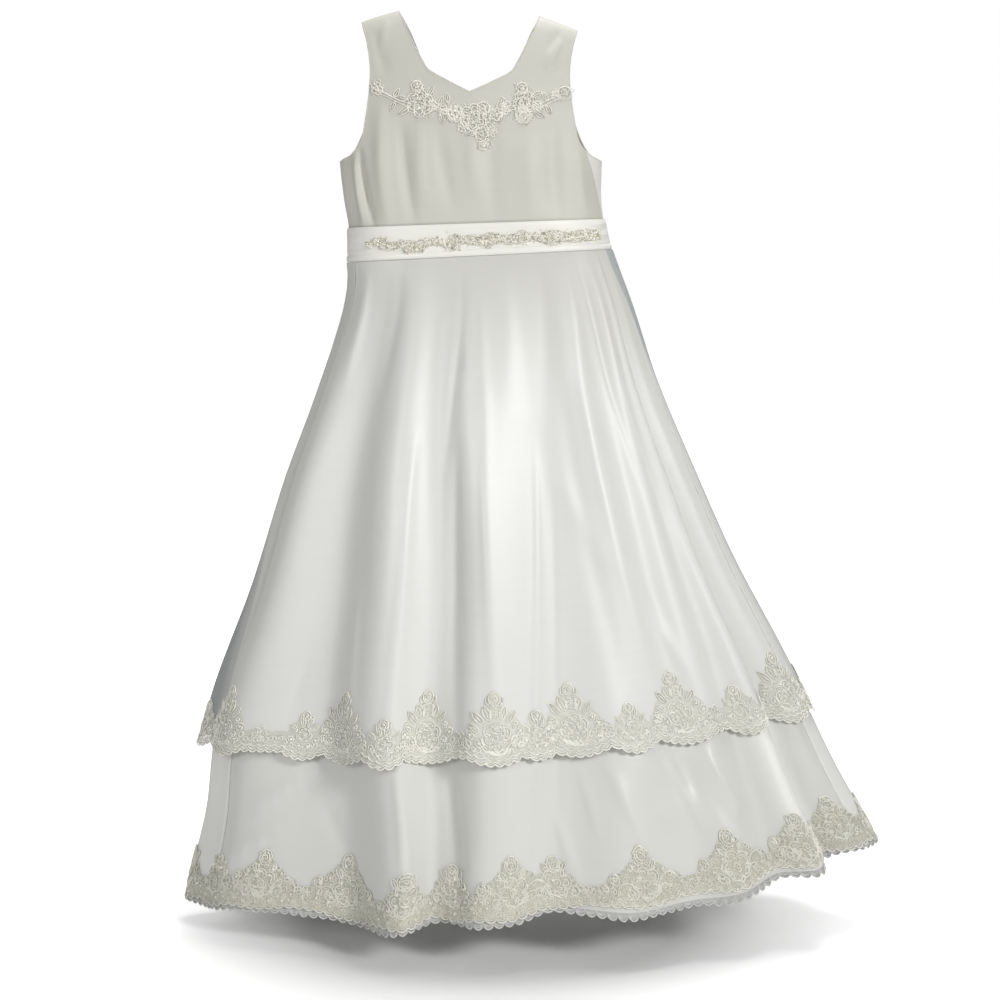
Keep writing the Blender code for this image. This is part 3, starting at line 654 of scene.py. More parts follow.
def armhole_share(bearing):
    """How far along the armhole's table its underarm passes a bearing."""
    low, high = 0.3, 0.8
    for _ in range(30):
        middle = (low + high) / 2
        if along(ARMHOLE, middle)[0] < bearing:
            low = middle
        else:
            high = middle
    return low


def between(first, last, columns):
    """Rows of places between two edges of one length, as arrays."""
    first, last = np.array(first), np.array(last)
    share = spread(0.0, 1.0, columns)[None, :, None]
    rows = first[:, None, :] + (last - first)[:, None, :] * share
    return rows[..., 0], rows[..., 1]


def bodice_half(seam, front, underarm_columns):
    """The grids of half a front or a back, on the wearer's left: its body, and its yoke with the strap."""
    neck = FRONT_NECK if front else BACK_NECK
    yoke = FRONT_YOKE if front else BACK_YOKE
    inward = -1 if front else 1
    seam_top = armhole_share(seam[1])
    yoke_end = yoke["armhole_row"] / (len(ARMHOLE) - 1)
    low, top = WAIST - SEAM_GAP, neck[0][1]

    strap_edge = [along(ARMHOLE, share) for share in spread(yoke_end, 0.0 if front else 1.0, YOKE_ROWS)]
    centre_edge = [(0.0, level) for level in spread(yoke["centre_drop"], top, CENTRE_ROWS)]
    centre_edge += neck_edge(neck, YOKE_ROWS - CENTRE_ROWS)[1:]
    if not front:
        gap = float(half_gap(bodice_form, CENTRE_BACK, yoke["centre_drop"]))
        centre_edge = [(CENTRE_BACK - max(away, gap), level) for away, level in centre_edge]
    yoke_bearings, yoke_drops = between(strap_edge, centre_edge, YOKE_COLUMNS)

    underarm = [along(ARMHOLE, share) for share in spread(seam_top, yoke_end, underarm_columns)]
    bearing, level = underarm[0]
    underarm[0] = (bearing + inward * float(half_gap(bodice_form, bearing, level)), level)
    top_bearings = np.array([place[0] for place in underarm] + list(yoke_bearings[0, 1:]))
    top_drops = np.array([place[1] for place in underarm] + list(yoke_drops[0, 1:]))
    at_waist = seam[0] + inward * float(half_gap(bodice_form, seam[0], low))
    across = (top_bearings - top_bearings[0]) / (top_bearings[-1] - top_bearings[0])
    waist_bearings = at_waist + (top_bearings[-1] - at_waist) * across
    share = spread(0.0, 1.0, BODY_ROWS)[:, None]
    body = (waist_bearings + (top_bearings - waist_bearings) * share, low + (top_drops - low) * share)
    return [body, (yoke_bearings, yoke_drops)]


def turned_over(grids):
    return [(-bearings, drops) for bearings, drops in grids]


# Threads: flat shapes drawn in mm along and up the cloth, laid on a form as cords


def round_line(x, y, reach_x, reach_y, turn, closed):
    return np.stack([x + reach_x * np.cos(turn), y + reach_y * np.sin(turn)], -1), closed


def circle(x, y, radius, tall=1.0, steps=14):
    turn = np.linspace(0, 2 * math.pi, steps, endpoint=False)
    return round_line(x, y, radius, radius * tall, turn, True)


def arc(x, y, radius, first, last, tall=1.0, steps=14):
    return round_line(x, y, radius, radius * tall, np.radians(np.linspace(first, last, steps)), False)


def rosette(x, y, radius, petals, notch=0.3, start=0.0, steps=5):
    turn = np.linspace(0, 2 * math.pi, petals * steps, endpoint=False)
    reach = radius * (1 - notch + notch * np.abs(np.cos(petals * (turn - start) / 2)))
    return round_line(x, y, reach, reach, turn, True)


def spiral(x, y, radius, turns, start=0.0, steps=18):
    share = np.linspace(0.12, 1.0, steps)
    return round_line(x, y, radius * share, radius * share, start + share * turns * 2 * math.pi, False)


def bent(points, steps=5):
    """A smooth open line through points."""
    rows = [(k / (len(points) - 1), *point) for k, point in enumerate(points)]
    share = spread(0, 1, steps * (len(points) - 1))
    return np.stack([read(rows, share, 1), read(rows, share, 2)], -1), False


def leaf(x, y, length, angle, width):
    """A pointed leaf from its foot, with a midrib."""
    share = np.linspace(0, 1, 8)
    side = width / 2 * np.sin(math.pi * share) ** 0.8
    far = np.stack([share * length, -side], -1)[-2:0:-1]
    out = np.concatenate([np.stack([share * length, side], -1), far])
    turn = math.radians(angle)
    spin = np.array([[math.cos(turn), math.sin(turn)], [-math.sin(turn), math.cos(turn)]])
    rib = np.stack([np.linspace(0, 0.8 * length, 4), np.zeros(4)], -1)
    return [(out @ spin + (x, y), True), (rib @ spin + (x, y), False)]


def flower(x, y, radius, petals=5, start=0.0):
    return [rosette(x, y, radius, petals, 0.42, start), circle(x, y, 0.32 * radius, steps=6)]


def looped(x, y, radius, tall=1.0):
    return [circle(x, y, radius, tall), spiral(x, y, 0.62 * radius, 1.3, 1.0, steps=10)]


def petals(x, y, reach, size, count, start, tall=1.0):
    """Round petals that overlap in a ring, each an arc with a second one inside it."""
    lines = []
    for k in range(count):
        toward = start + 2 * math.pi * k / count
        cx, cy = x + reach * math.cos(toward), y + tall * reach * math.sin(toward)
        outward = math.degrees(toward)
        lines.append(arc(cx, cy, size, outward - 125, outward + 105, tall, steps=10))
        lines.append(arc(cx, cy, 0.55 * size, outward - 90, outward + 120, tall, steps=7))
    return lines


def rings(*rows):
    """Small circles, by x, y and radius."""
    return [circle(x, y, radius, steps=8) for x, y, radius in rows]


def scattered(k, row):
    """An uneven share from 0 to 1 that a place in a row keeps."""
    return math.sin(12.9898 * k + 78.233 * row) * 43758.5453 % 1.0


# A motif: its lines, and where its beads go
LARGE_MOTIF = (
    [
        *petals(0, 28, 9.5, 7.2, 6, 0.3),
        *petals(0, 28, 3.6, 4.2, 4, 1.2),
        spiral(-1, 28, 3.4, 1.6, 1.0, steps=10),
        *leaf(-6, 47, 17, 112, 9.0),
        *leaf(-13, 42, 17, 140, 8.5),
        *leaf(-18, 33, 13, 162, 7.0),
        *leaf(7, 47, 15, 66, 8.5),
        *leaf(14, 42, 14, 38, 7.0),
        *petals(1, 56, 4.2, 4.0, 4, 0.8),
        *looped(1, 71, 6.6, 1.1),
        bent(((-5, 64), (-9, 67), (-8, 72))),
        bent(((7, 64), (11, 66), (11, 71))),
        spiral(-21, 20, 6.6, 1.8, 2.6, steps=14),
        spiral(21, 20, 6.6, 1.8, 0.4, steps=14),
        arc(0, 27, 18.0, 190, 350, 0.95, steps=16),
        arc(0, 27, 21.5, 200, 340, 0.85, steps=16),
        *flower(-30, 26, 4.6),
        *flower(29, 27, 5.0, start=0.4),
        *flower(23, 36, 3.6, start=0.2),
        *rings((-25, 34, 2.8), (-33, 16, 3.0), (33, 17, 3.0), (-27, 12, 2.4), (27, 12, 2.4)),
        *rings((-11, 11.5, 2.6), (11, 11.5, 2.6), (-3.5, 11, 2.6), (4, 11.2, 2.6)),
    ],
    (
        (-4, 34), (5, 33), (1, 71), (1, 56), (-30, 26), (29, 27), (23, 36), (-21, 20), (21, 20),
        (-8, 22), (8, 22),
    ),
)
SMALL_MOTIF = (
    [
        *petals(0, 25, 5.6, 4.4, 5, 0.9),
        *rings((0, 25, 2.2)),
        *leaf(-2, 34, 16, 105, 6),
        *leaf(3, 34, 14, 66, 5.5),
        *looped(0, 47, 5.0, 1.1),
        *leaf(-9, 28, 11, 150, 5),
        *leaf(9, 28, 11, 30, 5),
        *flower(-16, 17, 4.0),
        *flower(15, 16, 4.4, start=0.5),
        spiral(-6, 13, 3.6, 1.4, 2.0, steps=10),
        spiral(6, 12, 3.4, 1.4, 0.0, steps=10),
    ],
    ((0, 25), (0, 47), (-16, 17), (15, 16), (-4, 31), (5, 30), (-6, 13), (6, 12)),
)
MOTIFS = {"large": LARGE_MOTIF, "small": SMALL_MOTIF}
MOTIF_REACH = {"large": 36.0, "small": 27.0}


class Thread:
    """Cords and beads gathered on one form, made into one mesh each at the end."""

    def __init__(self, form, lift):
        self.form, self.lift = form, lift
        self.runs, self.radii, self.closed = [], [], []
        self.beads, self.bead_radii = [], []

    def add(self, bearings, drops, radius, closed=False):
        self.runs.append(np.stack(np.broadcast_arrays(bearings, drops), -1))
        self.radii.append(radius)
        self.closed.append(closed)

    def bead(self, bearing, drop, radius):
        self.beads.append((float(bearing), float(drop)))
        self.bead_radii.append(radius)

    def cords(self, name, material):
        """Cords of three sides, sunk into what they lie on."""
        flat = np.concatenate(self.runs)
        radius = np.concatenate([np.full(len(run), r) for run, r in zip(self.runs, self.radii)])
        lift = self.lift + 0.35 * radius
        centre = lifted(self.form, flat[:, 0], flat[:, 1], lift)
        normal = lifted(self.form, flat[:, 0], flat[:, 1], lift + 1.0) - centre
        points, faces, start = [], [], 0
        for run, closed in zip(self.runs, self.closed):
            count, base = len(run), 3 * start
            end = start + count
            here, up, thick = centre[start:end], normal[start:end], radius[start:end, None]
            if closed:
                ahead = np.roll(here, -1, axis=0) - np.roll(here, 1, axis=0)
            else:
                ahead = np.gradient(here, axis=0)
            side = np.cross(ahead, up)
            side /= np.maximum(np.linalg.norm(side, axis=1, keepdims=True), 1e-9)
            ring = np.stack([here - side * thick, here + up * thick, here + side * thick], axis=1)
            points.append(ring.reshape(-1, 3))
            for k in range(count if closed else count - 1):
                a, b = base + 3 * k, base + 3 * ((k + 1) % count)
                faces += [(a, a + 1, b + 1, b), (a + 1, a + 2, b + 2, b + 1), (a + 2, a, b, b + 2)]
            if not closed:
                last = base + 3 * (count - 1)
                faces += [(base, base + 2, base + 1), (last, last + 1, last + 2)]
            start = end
        return mesh_object(name, np.concatenate(points), faces, material, edge_angle=180.0)

    def bead_mesh(self, name, material):
        ball = bmesh.new()
        bmesh.ops.create_icosphere(ball, subdivisions=1, radius=1.0)
        shape = np.array([v.co for v in ball.verts])
        turns = np.array([[v.index for v in face.verts] for face in ball.faces])
        ball.free()
        flat, radius = np.array(self.beads), np.array(self.bead_radii)
        centre = lifted(self.form, flat[:, 0], flat[:, 1], self.lift + 0.8 * radius)
        points = (centre[:, None, :] + shape[None] * radius[:, None, None]).reshape(-1, 3)
        faces = (turns[None] + (np.arange(len(flat)) * len(shape))[:, None, None]).reshape(-1, 3)
        return mesh_object(name, points, faces.tolist(), material, edge_angle=180.0)


class Border:
    """A lace border round a tier: where its motifs stand and how its edges run."""

    def __init__(self, form, plain_form, lace, outlines, motifs):
        self.form, self.lace, self.outlines = form, lace, outlines
        self.bearings = spread(-90.0, 310.0, 1600)
        spots = plain_form(self.bearings, lace["bottom"])
        steps = np.linalg.norm(np.diff(spots, axis=0), axis=1)
        self.passed = np.concatenate([[0.0], np.cumsum(steps)])
        self.motifs = [(self.at(bearing), size, mirror) for bearing, size, mirror in motifs]
        # round the back, large and small ones take turns
        first, last = self.motifs[-1][0], self.at(motifs[0][0] + 360.0)
        turns = 2 * round((last - first) / lace["pitch"] / 2)
        for k in range(1, turns):
            size = "small" if k % 2 else "large"
            self.motifs.append((first + (last - first) * k / turns, size, 1 if k % 4 < 2 else -1))
        self.motifs.append((last, motifs[0][1], 1))

    def at(self, bearing):
        return float(np.interp(bearing, self.bearings, self.passed))

    def bearing(self, run):
        return np.interp(run, self.passed, self.bearings)

    def place(self, run, height):
        """The bearing and the drop of a place on the border."""
        return self.bearing(run), self.lace["bottom"] + self.swag(run) - height

    def swag(self, run):
        deep = np.zeros_like(run)
        for middle, size, _ in self.motifs:
            away = np.abs(run - middle) / MOTIF_REACH[size]
            deep = np.maximum(deep, np.where(away < 1, np.cos(math.pi / 2 * np.minimum(away, 1)), 0.0))
        return self.lace["swag"] * deep

    def height(self, run):
        """The upper edge of the net, above the swag."""
        high = np.full_like(run, self.lace["valley"])
        high = high + 1.2 * np.sin(run / 5.3) * np.sin(run / 2.9)
        for middle, size, mirror in self.motifs:
            table = np.array(self.outlines[size], float)
            away = (run - middle) * mirror
            high = np.maximum(high, np.interp(away, table[:, 0], table[:, 1], left=0.0, right=0.0))
        return high

    def edge(self, run):
        """The drop of the lower edge, which is raised where plain satin shows under it."""
        first, last, rise = self.lace["raised"]
        bearing = self.bearing(run)
        share = np.clip((bearing - first) / 6, 0, 1) * np.clip((last - bearing) / 6, 0, 1)
        return self.lace["bottom"] + self.swag(run) - rise * share

    def turn_to(self, seams):
        """From now on the pieces are those of the stretch between two seams."""
        self.first, self.last = self.at(seams[0]), self.at(seams[1])

    def steps(self, pitch):
        return range(int((self.last - self.first) / pitch))

    def ground(self, name, column_width, material):
        first, last = self.first, self.last
        runs = spread(first + SEAM_GAP / 2, last - SEAM_GAP / 2, int((last - first) / column_width))
        low = self.edge(runs) + 2.6 * np.abs(np.sin(math.pi * runs / self.lace["scallop"]))
        bearings, top = self.place(runs, self.height(runs))
        share = spread(0, 1, NET_ROWS)[:, None]
        drops = top[None] + (low - top)[None] * share
        bearings = np.repeat(bearings[None], NET_ROWS + 1, axis=0)
        return sheet_mesh(name, self.form, [(bearings, drops)], GROUND_LIFT + NET, NET, material)

    def motifs_here(self):
        return [motif for motif in self.motifs if self.first - 8 <= motif[0] < self.last - 8]

    def lay(self, thread, run, lines, radius, mirror=1):
        for points, closed in lines:
            thread.add(*self.place(run + mirror * points[:, 0], points[:, 1]), radius, closed)

    def scallops(self, thread, up, deep, radius):
        pitch = self.lace["scallop"]
        run = spread(self.first, self.last, int((self.last - self.first) / pitch * 9))
        drop = self.edge(run) - up + deep * np.abs(np.sin(math.pi * run / pitch)) ** 0.6
        thread.add(self.bearing(run), drop, radius)


# Materials


def feed(tree, made, inputs):
    """Sets inputs of a node, and links those that are given a socket."""
    for key, value in inputs.items():
        if isinstance(value, bpy.types.NodeSocket):
            tree.links.new(value, made.inputs[key])
        else:
            made.inputs[key].default_value = value


def node(tree, kind, inputs=None, **settings):
    made = tree.nodes.new("ShaderNode" + kind)
    for name, value in settings.items():
        setattr(made, name, value)
    feed(tree, made, inputs or {})
    return made


def maths(tree, operation, *values):
    return node(tree, "Math", dict(enumerate(values)), operation=operation).outputs[0]


def noise(tree, scale, detail, place):
    return node(tree, "TexNoise", {"Scale": scale, "Detail": detail, "Vector": place}).outputs["Fac"]


def mixed(tree, amount, first, second):
    colours = {0: amount, 6: first, 7: second}
    return node(tree, "Mix", colours, data_type="RGBA").outputs[2]


def bumped(tree, strength, distance, height, invert=False):
    inputs = {"Strength": strength, "Distance": distance, "Height": height}
    return node(tree, "Bump", inputs, invert=invert).outputs["Normal"]


def shade(colour, factor):
    return (*[min(1.0, c * factor) for c in colour], 1)


def new_material(name):
    material = bpy.data.materials.new(name)
    material.use_nodes = True
    return material, material.node_tree, material.node_tree.nodes["Principled BSDF"]


def weave_group():
    """Warp and weft, slubs and broad unevenness. Puts out a colour, a roughness and a height."""
    tree = bpy.data.node_groups.new("woven_cloth", "ShaderNodeTree")
    for name, kind, default in (
        ("Colour", "NodeSocketColor", (0.8, 0.8, 0.8, 1)),
        ("Threads per metre", "NodeSocketFloat", 1400.0),
        ("Slub", "NodeSocketFloat", 0.05),
        ("Roughness", "NodeSocketFloat", 0.4),
    ):
        tree.interface.new_socket(name, in_out="INPUT", socket_type=kind).default_value = default
    for name in ("Colour", "Roughness", "Height"):
        kind = "NodeSocketColor" if name == "Colour" else "NodeSocketFloat"
        tree.interface.new_socket(name, in_out="OUTPUT", socket_type=kind)
    ins = tree.nodes.new("NodeGroupInput").outputs
    place = node(tree, "TexCoord").outputs
    threads = {0: place["UV"], "Scale": ins["Threads per metre"]}
    threads = node(tree, "VectorMath", threads, operation="SCALE").outputs[0]
    wave = {"Scale": 0.3, "Distortion": 0.6, "Detail": 1.0, "Vector": threads}
    warp = node(tree, "TexWave", wave, bands_direction="X").outputs["Fac"]
    weft = node(tree, "TexWave", wave, bands_direction="Y").outputs["Fac"]
    stretch = node(tree, "Mapping", {"Scale": (14.0, 160.0, 1.0), "Vector": place["UV"]})
    slub = noise(tree, 1.0, 4.0, stretch.outputs[0])
    both = maths(tree, "ADD", slub, noise(tree, 7.0, 3.0, place["Object"]))
    tone = maths(tree, "SUBTRACT", 1.04, maths(tree, "MULTIPLY", both, ins["Slub"]))
    colour = node(tree, "VectorMath", {0: ins["Colour"], "Scale": tone}, operation="SCALE").outputs[0]
    feed(tree, tree.nodes.new("NodeGroupOutput"), {
        "Colour": colour,
        "Roughness": maths(tree, "MULTIPLY_ADD", both, 0.06, ins["Roughness"]),
        "Height": maths(tree, "MULTIPLY_ADD", slub, 0.8, maths(tree, "MULTIPLY", warp, weft)),
    })
    return tree


WOVEN = weave_group()


def woven_material(name, colour, roughness, threads, slub, bump, sheen=0.0, alpha=1.0, tints=()):
    """Woven cloth. Each tint paints light or shade into the colour: it is a function of a sheet's places and
    the colour that it brings in.
    """
    material, tree, shader = new_material(name)
    tone = (*colour, 1)
    for tint, brought in tints:
        amount = node(tree, "Attribute", attribute_name=tint.__name__).outputs["Fac"]
        tone = mixed(tree, amount, tone, (*brought, 1))
    cloth = tree.nodes.new("ShaderNodeGroup")
    cloth.node_tree = WOVEN
    feed(tree, cloth, {"Colour": tone, "Threads per metre": threads, "Slub": slub, "Roughness": roughness})
    feed(tree, shader, {
        "Base Color": cloth.outputs["Colour"],
        "Roughness": cloth.outputs["Roughness"],
        "Normal": bumped(tree, bump, 0.0003, cloth.outputs["Height"]),
        "Sheen Weight": sheen,
        "Sheen Roughness": 0.4,
        "Alpha": alpha,
    })
    return material


def net_material(name, colour, dark, cells, alpha=1.0):
    """A dense net ground worked over with thread: cells, with darker holes between threads."""
    material, tree, shader = new_material(name)
    place = node(tree, "TexCoord").outputs["UV"]
    holes = node(tree, "TexVoronoi", {"Scale": cells, "Vector": place}, feature="DISTANCE_TO_EDGE")
    holes = holes.outputs["Distance"]
    ramp = node(tree, "ValToRGB", {"Fac": holes})
    for end, position, tone in zip(ramp.color_ramp.elements, (0.02, 0.32), (colour, dark)):
        end.position, end.color = position, (*tone, 1)
    feed(tree, shader, {
        "Base Color": mixed(tree, noise(tree, 130.0, 3.0, place), shade(colour, 1.12), ramp.outputs["Color"]),
        "Normal": bumped(tree, 0.8, 0.0006, holes, invert=True),
        "Roughness": 0.75,
        "Alpha": alpha,
    })
    return material


def thread_material(name, colour, roughness, change=0.12, coat=0.0):
    """Twisted thread: fine ridges and a little change of tone along it."""
    material, tree, shader = new_material(name)
    place = node(tree, "TexCoord").outputs["Object"]
    broad = noise(tree, 110.0, 2.0, place)
    feed(tree, shader, {
        "Base Color": mixed(tree, broad, shade(colour, 1 - change), shade(colour, 1 + change)),
        "Normal": bumped(tree, 0.4, 0.0003, noise(tree, 900.0, 2.0, place)),
        "Roughness": roughness,
        "Coat Weight": coat,
    })
    return material


# Tints: painted light and shade, as how much of another colour a place on the cloth takes


def painted_light_side(bearing, drop):
    """Painted light: the side panel under the left arm, which faces the light, is made lighter in colour."""
    away = wrapped(bearing)
    return eased((away - 50.0) / 4.0) * eased((108.0 - away) / 16.0) * eased((drop - 120.0) / 20.0)


def painted_shadow_at_belt(bearing, drop):
    """Painted shadow: the dark line on the bodice where the belt stands out from it."""
    return 0.75 * eased((drop - WAIST + 3.0) / 2.6)


def painted_shade_side(bearing, drop):
    """Painted shade: the right side of the overskirt, where it falls clear of the satin, is coloured dark."""
    away = wrapped(bearing)
    inner = -85.0 + 16.0 * np.clip((drop - 590.0) / 190.0, 0.0, 1.0)
    edge = 0.55 + 0.45 * eased((inner - 4.0 - away) / 9.0)
    return edge * eased((inner - away) / 3.5) * eased((away + 132.0) / 34.0) * eased((drop - 560.0) / 90.0)


def painted_cool_shade_side(bearing, drop):
    """Painted shade in cool grey: the strips on the left side under the belt, and the very edge of the left
    side.
    """
    away = wrapped(bearing)
    inner = 69.0 + 12.0 * np.clip((drop - 300.0) / 130.0, 0.0, 1.0)
    under_belt = eased((away - inner) / 1.5) * eased((120.0 - away) / 26.0) * eased((470.0 - drop) / 90.0)
    edge = 0.3 * eased((away - 80.0) / 5.0) * eased((124.0 - away) / 26.0)
    return np.maximum(0.85 * under_belt, edge)


def painted_shade_top(bearing, drop):
    """The organza lies close over the satin under the belt; there it is painted warmer and darker, a painted
    shade that is deeper on the wearer's left.
    """
    return 0.55 * eased((460.0 - drop) / 160.0) * (0.6 + 0.4 * np.sin(np.radians(bearing)))


def painted_ridge_highlight(bearing, drop):
    """Painted highlight: the fold of the satin by the left side seam is made lighter in colour, where it
    would shine.
    """
    away = wrapped(bearing) - 55.5 - 1.5 * (SKIRT_HEM - drop) / 180.0
    return eased(1.0 - np.abs(away) / 9.0) * eased((drop - 790.0) / 60.0)


SATIN = {"roughness": 0.26, "threads": 1600.0, "slub": 0.03, "bump": 0.10}
# The front satin takes a painted highlight along the fold by the left side seam.
satin = woven_material("skirt_satin_cloth", SATIN_WHITE, tints=((painted_ridge_highlight, PAINTED_HIGHLIGHT_SATIN),), **SATIN)
# Painted light: a lighter copy of the satin for the back panels.
painted_light_back_satin = woven_material("skirt_back_satin", PAINTED_LIGHT_BACK_SATIN, **SATIN)
plain = woven_material(
    "bodice_cloth_weave", BODICE_WHITE, roughness=0.44, threads=1300.0, slub=0.05, bump=0.22, sheen=0.15,
    tints=((painted_light_side, PAINTED_LIGHT_BODICE), (painted_shadow_at_belt, PAINTED_BELT_SHADOW)),
)
ribbon = woven_material("belt_satin", BELT_WHITE, roughness=0.34, threads=1600.0, slub=0.04, bump=0.14)
# The organza's tints paint shade into its colour: warmer and darker under the belt, grey at the right side,
# cool grey at the left.
sheer = woven_material(
    "overskirt_organza", ORGANZA_WHITE, roughness=0.33, threads=1100.0, slub=0.04, bump=0.12, alpha=0.8,
    tints=((painted_shade_top, WARM_SHADE_ORGANZA), (painted_shade_side, SHADED_ORGANZA), (painted_cool_shade_side, COOL_SHADE_ORGANZA)),
)
net = net_material("lace_net", LACE_GROUND, LACE_HOLES, cells=420.0, alpha=0.6)
dense_net = net_material("beaded_lace_net", DENSE_GROUND, DENSE_HOLES, cells=330.0)
shaded_edging_net = net_material("shaded_edging_net", PAINTED_SHADE_EDGING_GROUND, PAINTED_SHADE_EDGING_HOLES, cells=300.0)
cord = thread_material("lace_cord", LACE_CORD, roughness=0.55)
beige_cord = thread_material("skirt_lace_cord", BEIGE_CORD, roughness=0.5, change=0.2)
shaded_edging_cord = thread_material("shaded_edging_cord", PAINTED_SHADE_EDGING_CORD, roughness=0.55)
cream = thread_material("cream_thread", CREAM_THREAD, roughness=0.5)
silver = thread_material("silver_thread", SILVER_THREAD, roughness=0.35)
pearl = thread_material("pearl_bead", PEARL, roughness=0.3, change=0.08, coat=0.35)
grey_bead = thread_material("silver_bead", SILVER_BEAD, roughness=0.2, change=0.4, coat=0.5)


def finish_piece(thing, slot, *nodes):
    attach(thing, "root")
    if nodes:
        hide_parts(*nodes)
    return thing


# The bodice

front_halves = bodice_half(BODICE_SEAM_LEFT, True, 5) + turned_over(bodice_half(BODICE_SEAM_RIGHT, True, 18))
left_half = bodice_half(BODICE_SEAM_LEFT, False, 28)
right_half = turned_over(bodice_half(BODICE_SEAM_RIGHT, False, 18))
BODICE_PANELS = (
    # node, grids, tints, width and length and area of the cut, what it hangs from
    ("bodice_front", front_halves, (painted_shadow_at_belt,), (0.35, 0.26), 0.066, "bodice_back_left_cloth"),
    ("bodice_back_left", left_half, (painted_light_side, painted_shadow_at_belt), (0.21, 0.24), 0.035, "bodice_front_cloth"),
    ("bodice_back_right", right_half, (painted_shadow_at_belt,), (0.18, 0.24), 0.032, "bodice_front_cloth"),
)
for part, grids, tints, flat, area, under in BODICE_PANELS:
    piece = sheet_mesh(part + "_cloth", bodice, grids, 0.0, BODICE_CLOTH, plain, tints)
    finish_piece(piece, "bodice_cloth", part)

TURNED_EDGE = 0.9
edges = Thread(bodice, -0.7)
neck_front = neck_edge(FRONT_NECK, 30)
neck_back = [(CENTRE_BACK - away, level) for away, level in neck_edge(BACK_NECK, 30)]
armhole = [along(ARMHOLE, share) for share in spread(0.0, 1.0, 70)]
for side in (1, -1):
    for edge in (neck_front, neck_back, armhole):
        edges.add(side * np.array(edge)[:, 0], np.array(edge)[:, 1], TURNED_EDGE)
finish_piece(edges.cords("bodice_turned_edges", plain), "bodice_cloth")

# The belt

BELT_ROWS = 26
BELT_PARTS = (
    # node, its seams, columns, width and length of the cut
    ("belt_front", (-BODICE_SEAM_RIGHT[0], BODICE_SEAM_LEFT[0]), 150, (0.37, 0.039)),
    ("belt_back_left", (BODICE_SEAM_LEFT[0], CENTRE_BACK), 70, (0.19, 0.039)),
    ("belt_back_right", (CENTRE_BACK, 360.0 - BODICE_SEAM_RIGHT[0]), 70, (0.19, 0.039)),
)
for part, seams, columns, flat in BELT_PARTS:
    grid = panel_grid(bodice_form, seams, spread(WAIST, BELT_BOTTOM - SEAM_GAP, BELT_ROWS), columns)
    piece = sheet_mesh(part + "_ribbon", belt, [grid], BELT_PROUD, BELT_CLOTH, ribbon)
    finish_piece(piece, "skirt_satin", part)

# The skirts

FRONT_SEAMS = (-SKIRT_SEAM_RIGHT, SKIRT_SEAM_LEFT)
SKIRT_PANELS = (
    # part, its seams, columns, rows, then the satin's cut and the organza's: width, length, area
    ("front", FRONT_SEAMS, 230, 76, (0.93, 0.78, 0.50), (0.81, 0.58, 0.34)),
    ("back_left", (SKIRT_SEAM_LEFT, CENTRE_BACK), 120, 54, (0.55, 0.78, 0.30), (0.48, 0.58, 0.20)),
    ("back_right", (CENTRE_BACK, 360.0 - SKIRT_SEAM_RIGHT), 120, 54, (0.57, 0.78, 0.30), (0.50, 0.58, 0.20)),
)
TIERS = (
    # tier, its cloth, form, hem, how many quarters of the rows it has, thickness, slot
    ("skirt", "satin", skirt, SKIRT_HEM, 4, SKIRT_CLOTH, "skirt_satin"),
    ("overskirt", "organza", overskirt, OVERSKIRT_HEM, 3, ORGANZA, "organza"),
)
for part, seams, columns, rows, *cuts in SKIRT_PANELS:
    satin_look = (satin, (painted_ridge_highlight,)) if part == "front" else (painted_light_back_satin, ())
    looks = (satin_look, (sheer, (painted_shade_side, painted_cool_shade_side, painted_shade_top)))
    for tier_row, (material, tints), cut in zip(TIERS, looks, cuts):
        tier, cloth, form, hem, quarters, thickness, slot = tier_row
        grid = panel_grid(form, seams, spread(BELT_BOTTOM, hem, rows * quarters // 4), columns)
        piece = sheet_mesh(f"{tier}_{part}_{cloth}", form, [grid], 0.0, thickness, material, tints)
        finish_piece(piece, slot, f"{tier}_{part}")

# Lace: the half widths of its cords and the radius of its beads

UPPER_MOTIF_CORD, SPRIG_CORD, TRELLIS_CORD, UPPER_LOOP_CORD = 0.85, 0.85, 0.8, 0.75
LOWER_MOTIF_CORD, SCROLL_CORD, LOWER_LOOP_CORD = 0.78, 0.7, 0.65
BEAD = 1.2
UPPER_LOOPS, SCROLLS, LOWER_LOOPS = 6.3, 13.0, 6.2  # how far apart they stand
upper = Border(overskirt, skirt_form(OVERSKIRT_HANG), OVERSKIRT_LACE, OVERSKIRT_OUTLINE, OVERSKIRT_MOTIFS)
lower = Border(skirt, skirt_form(SKIRT_HANG), SKIRT_LACE, SKIRT_OUTLINE, SKIRT_MOTIFS)


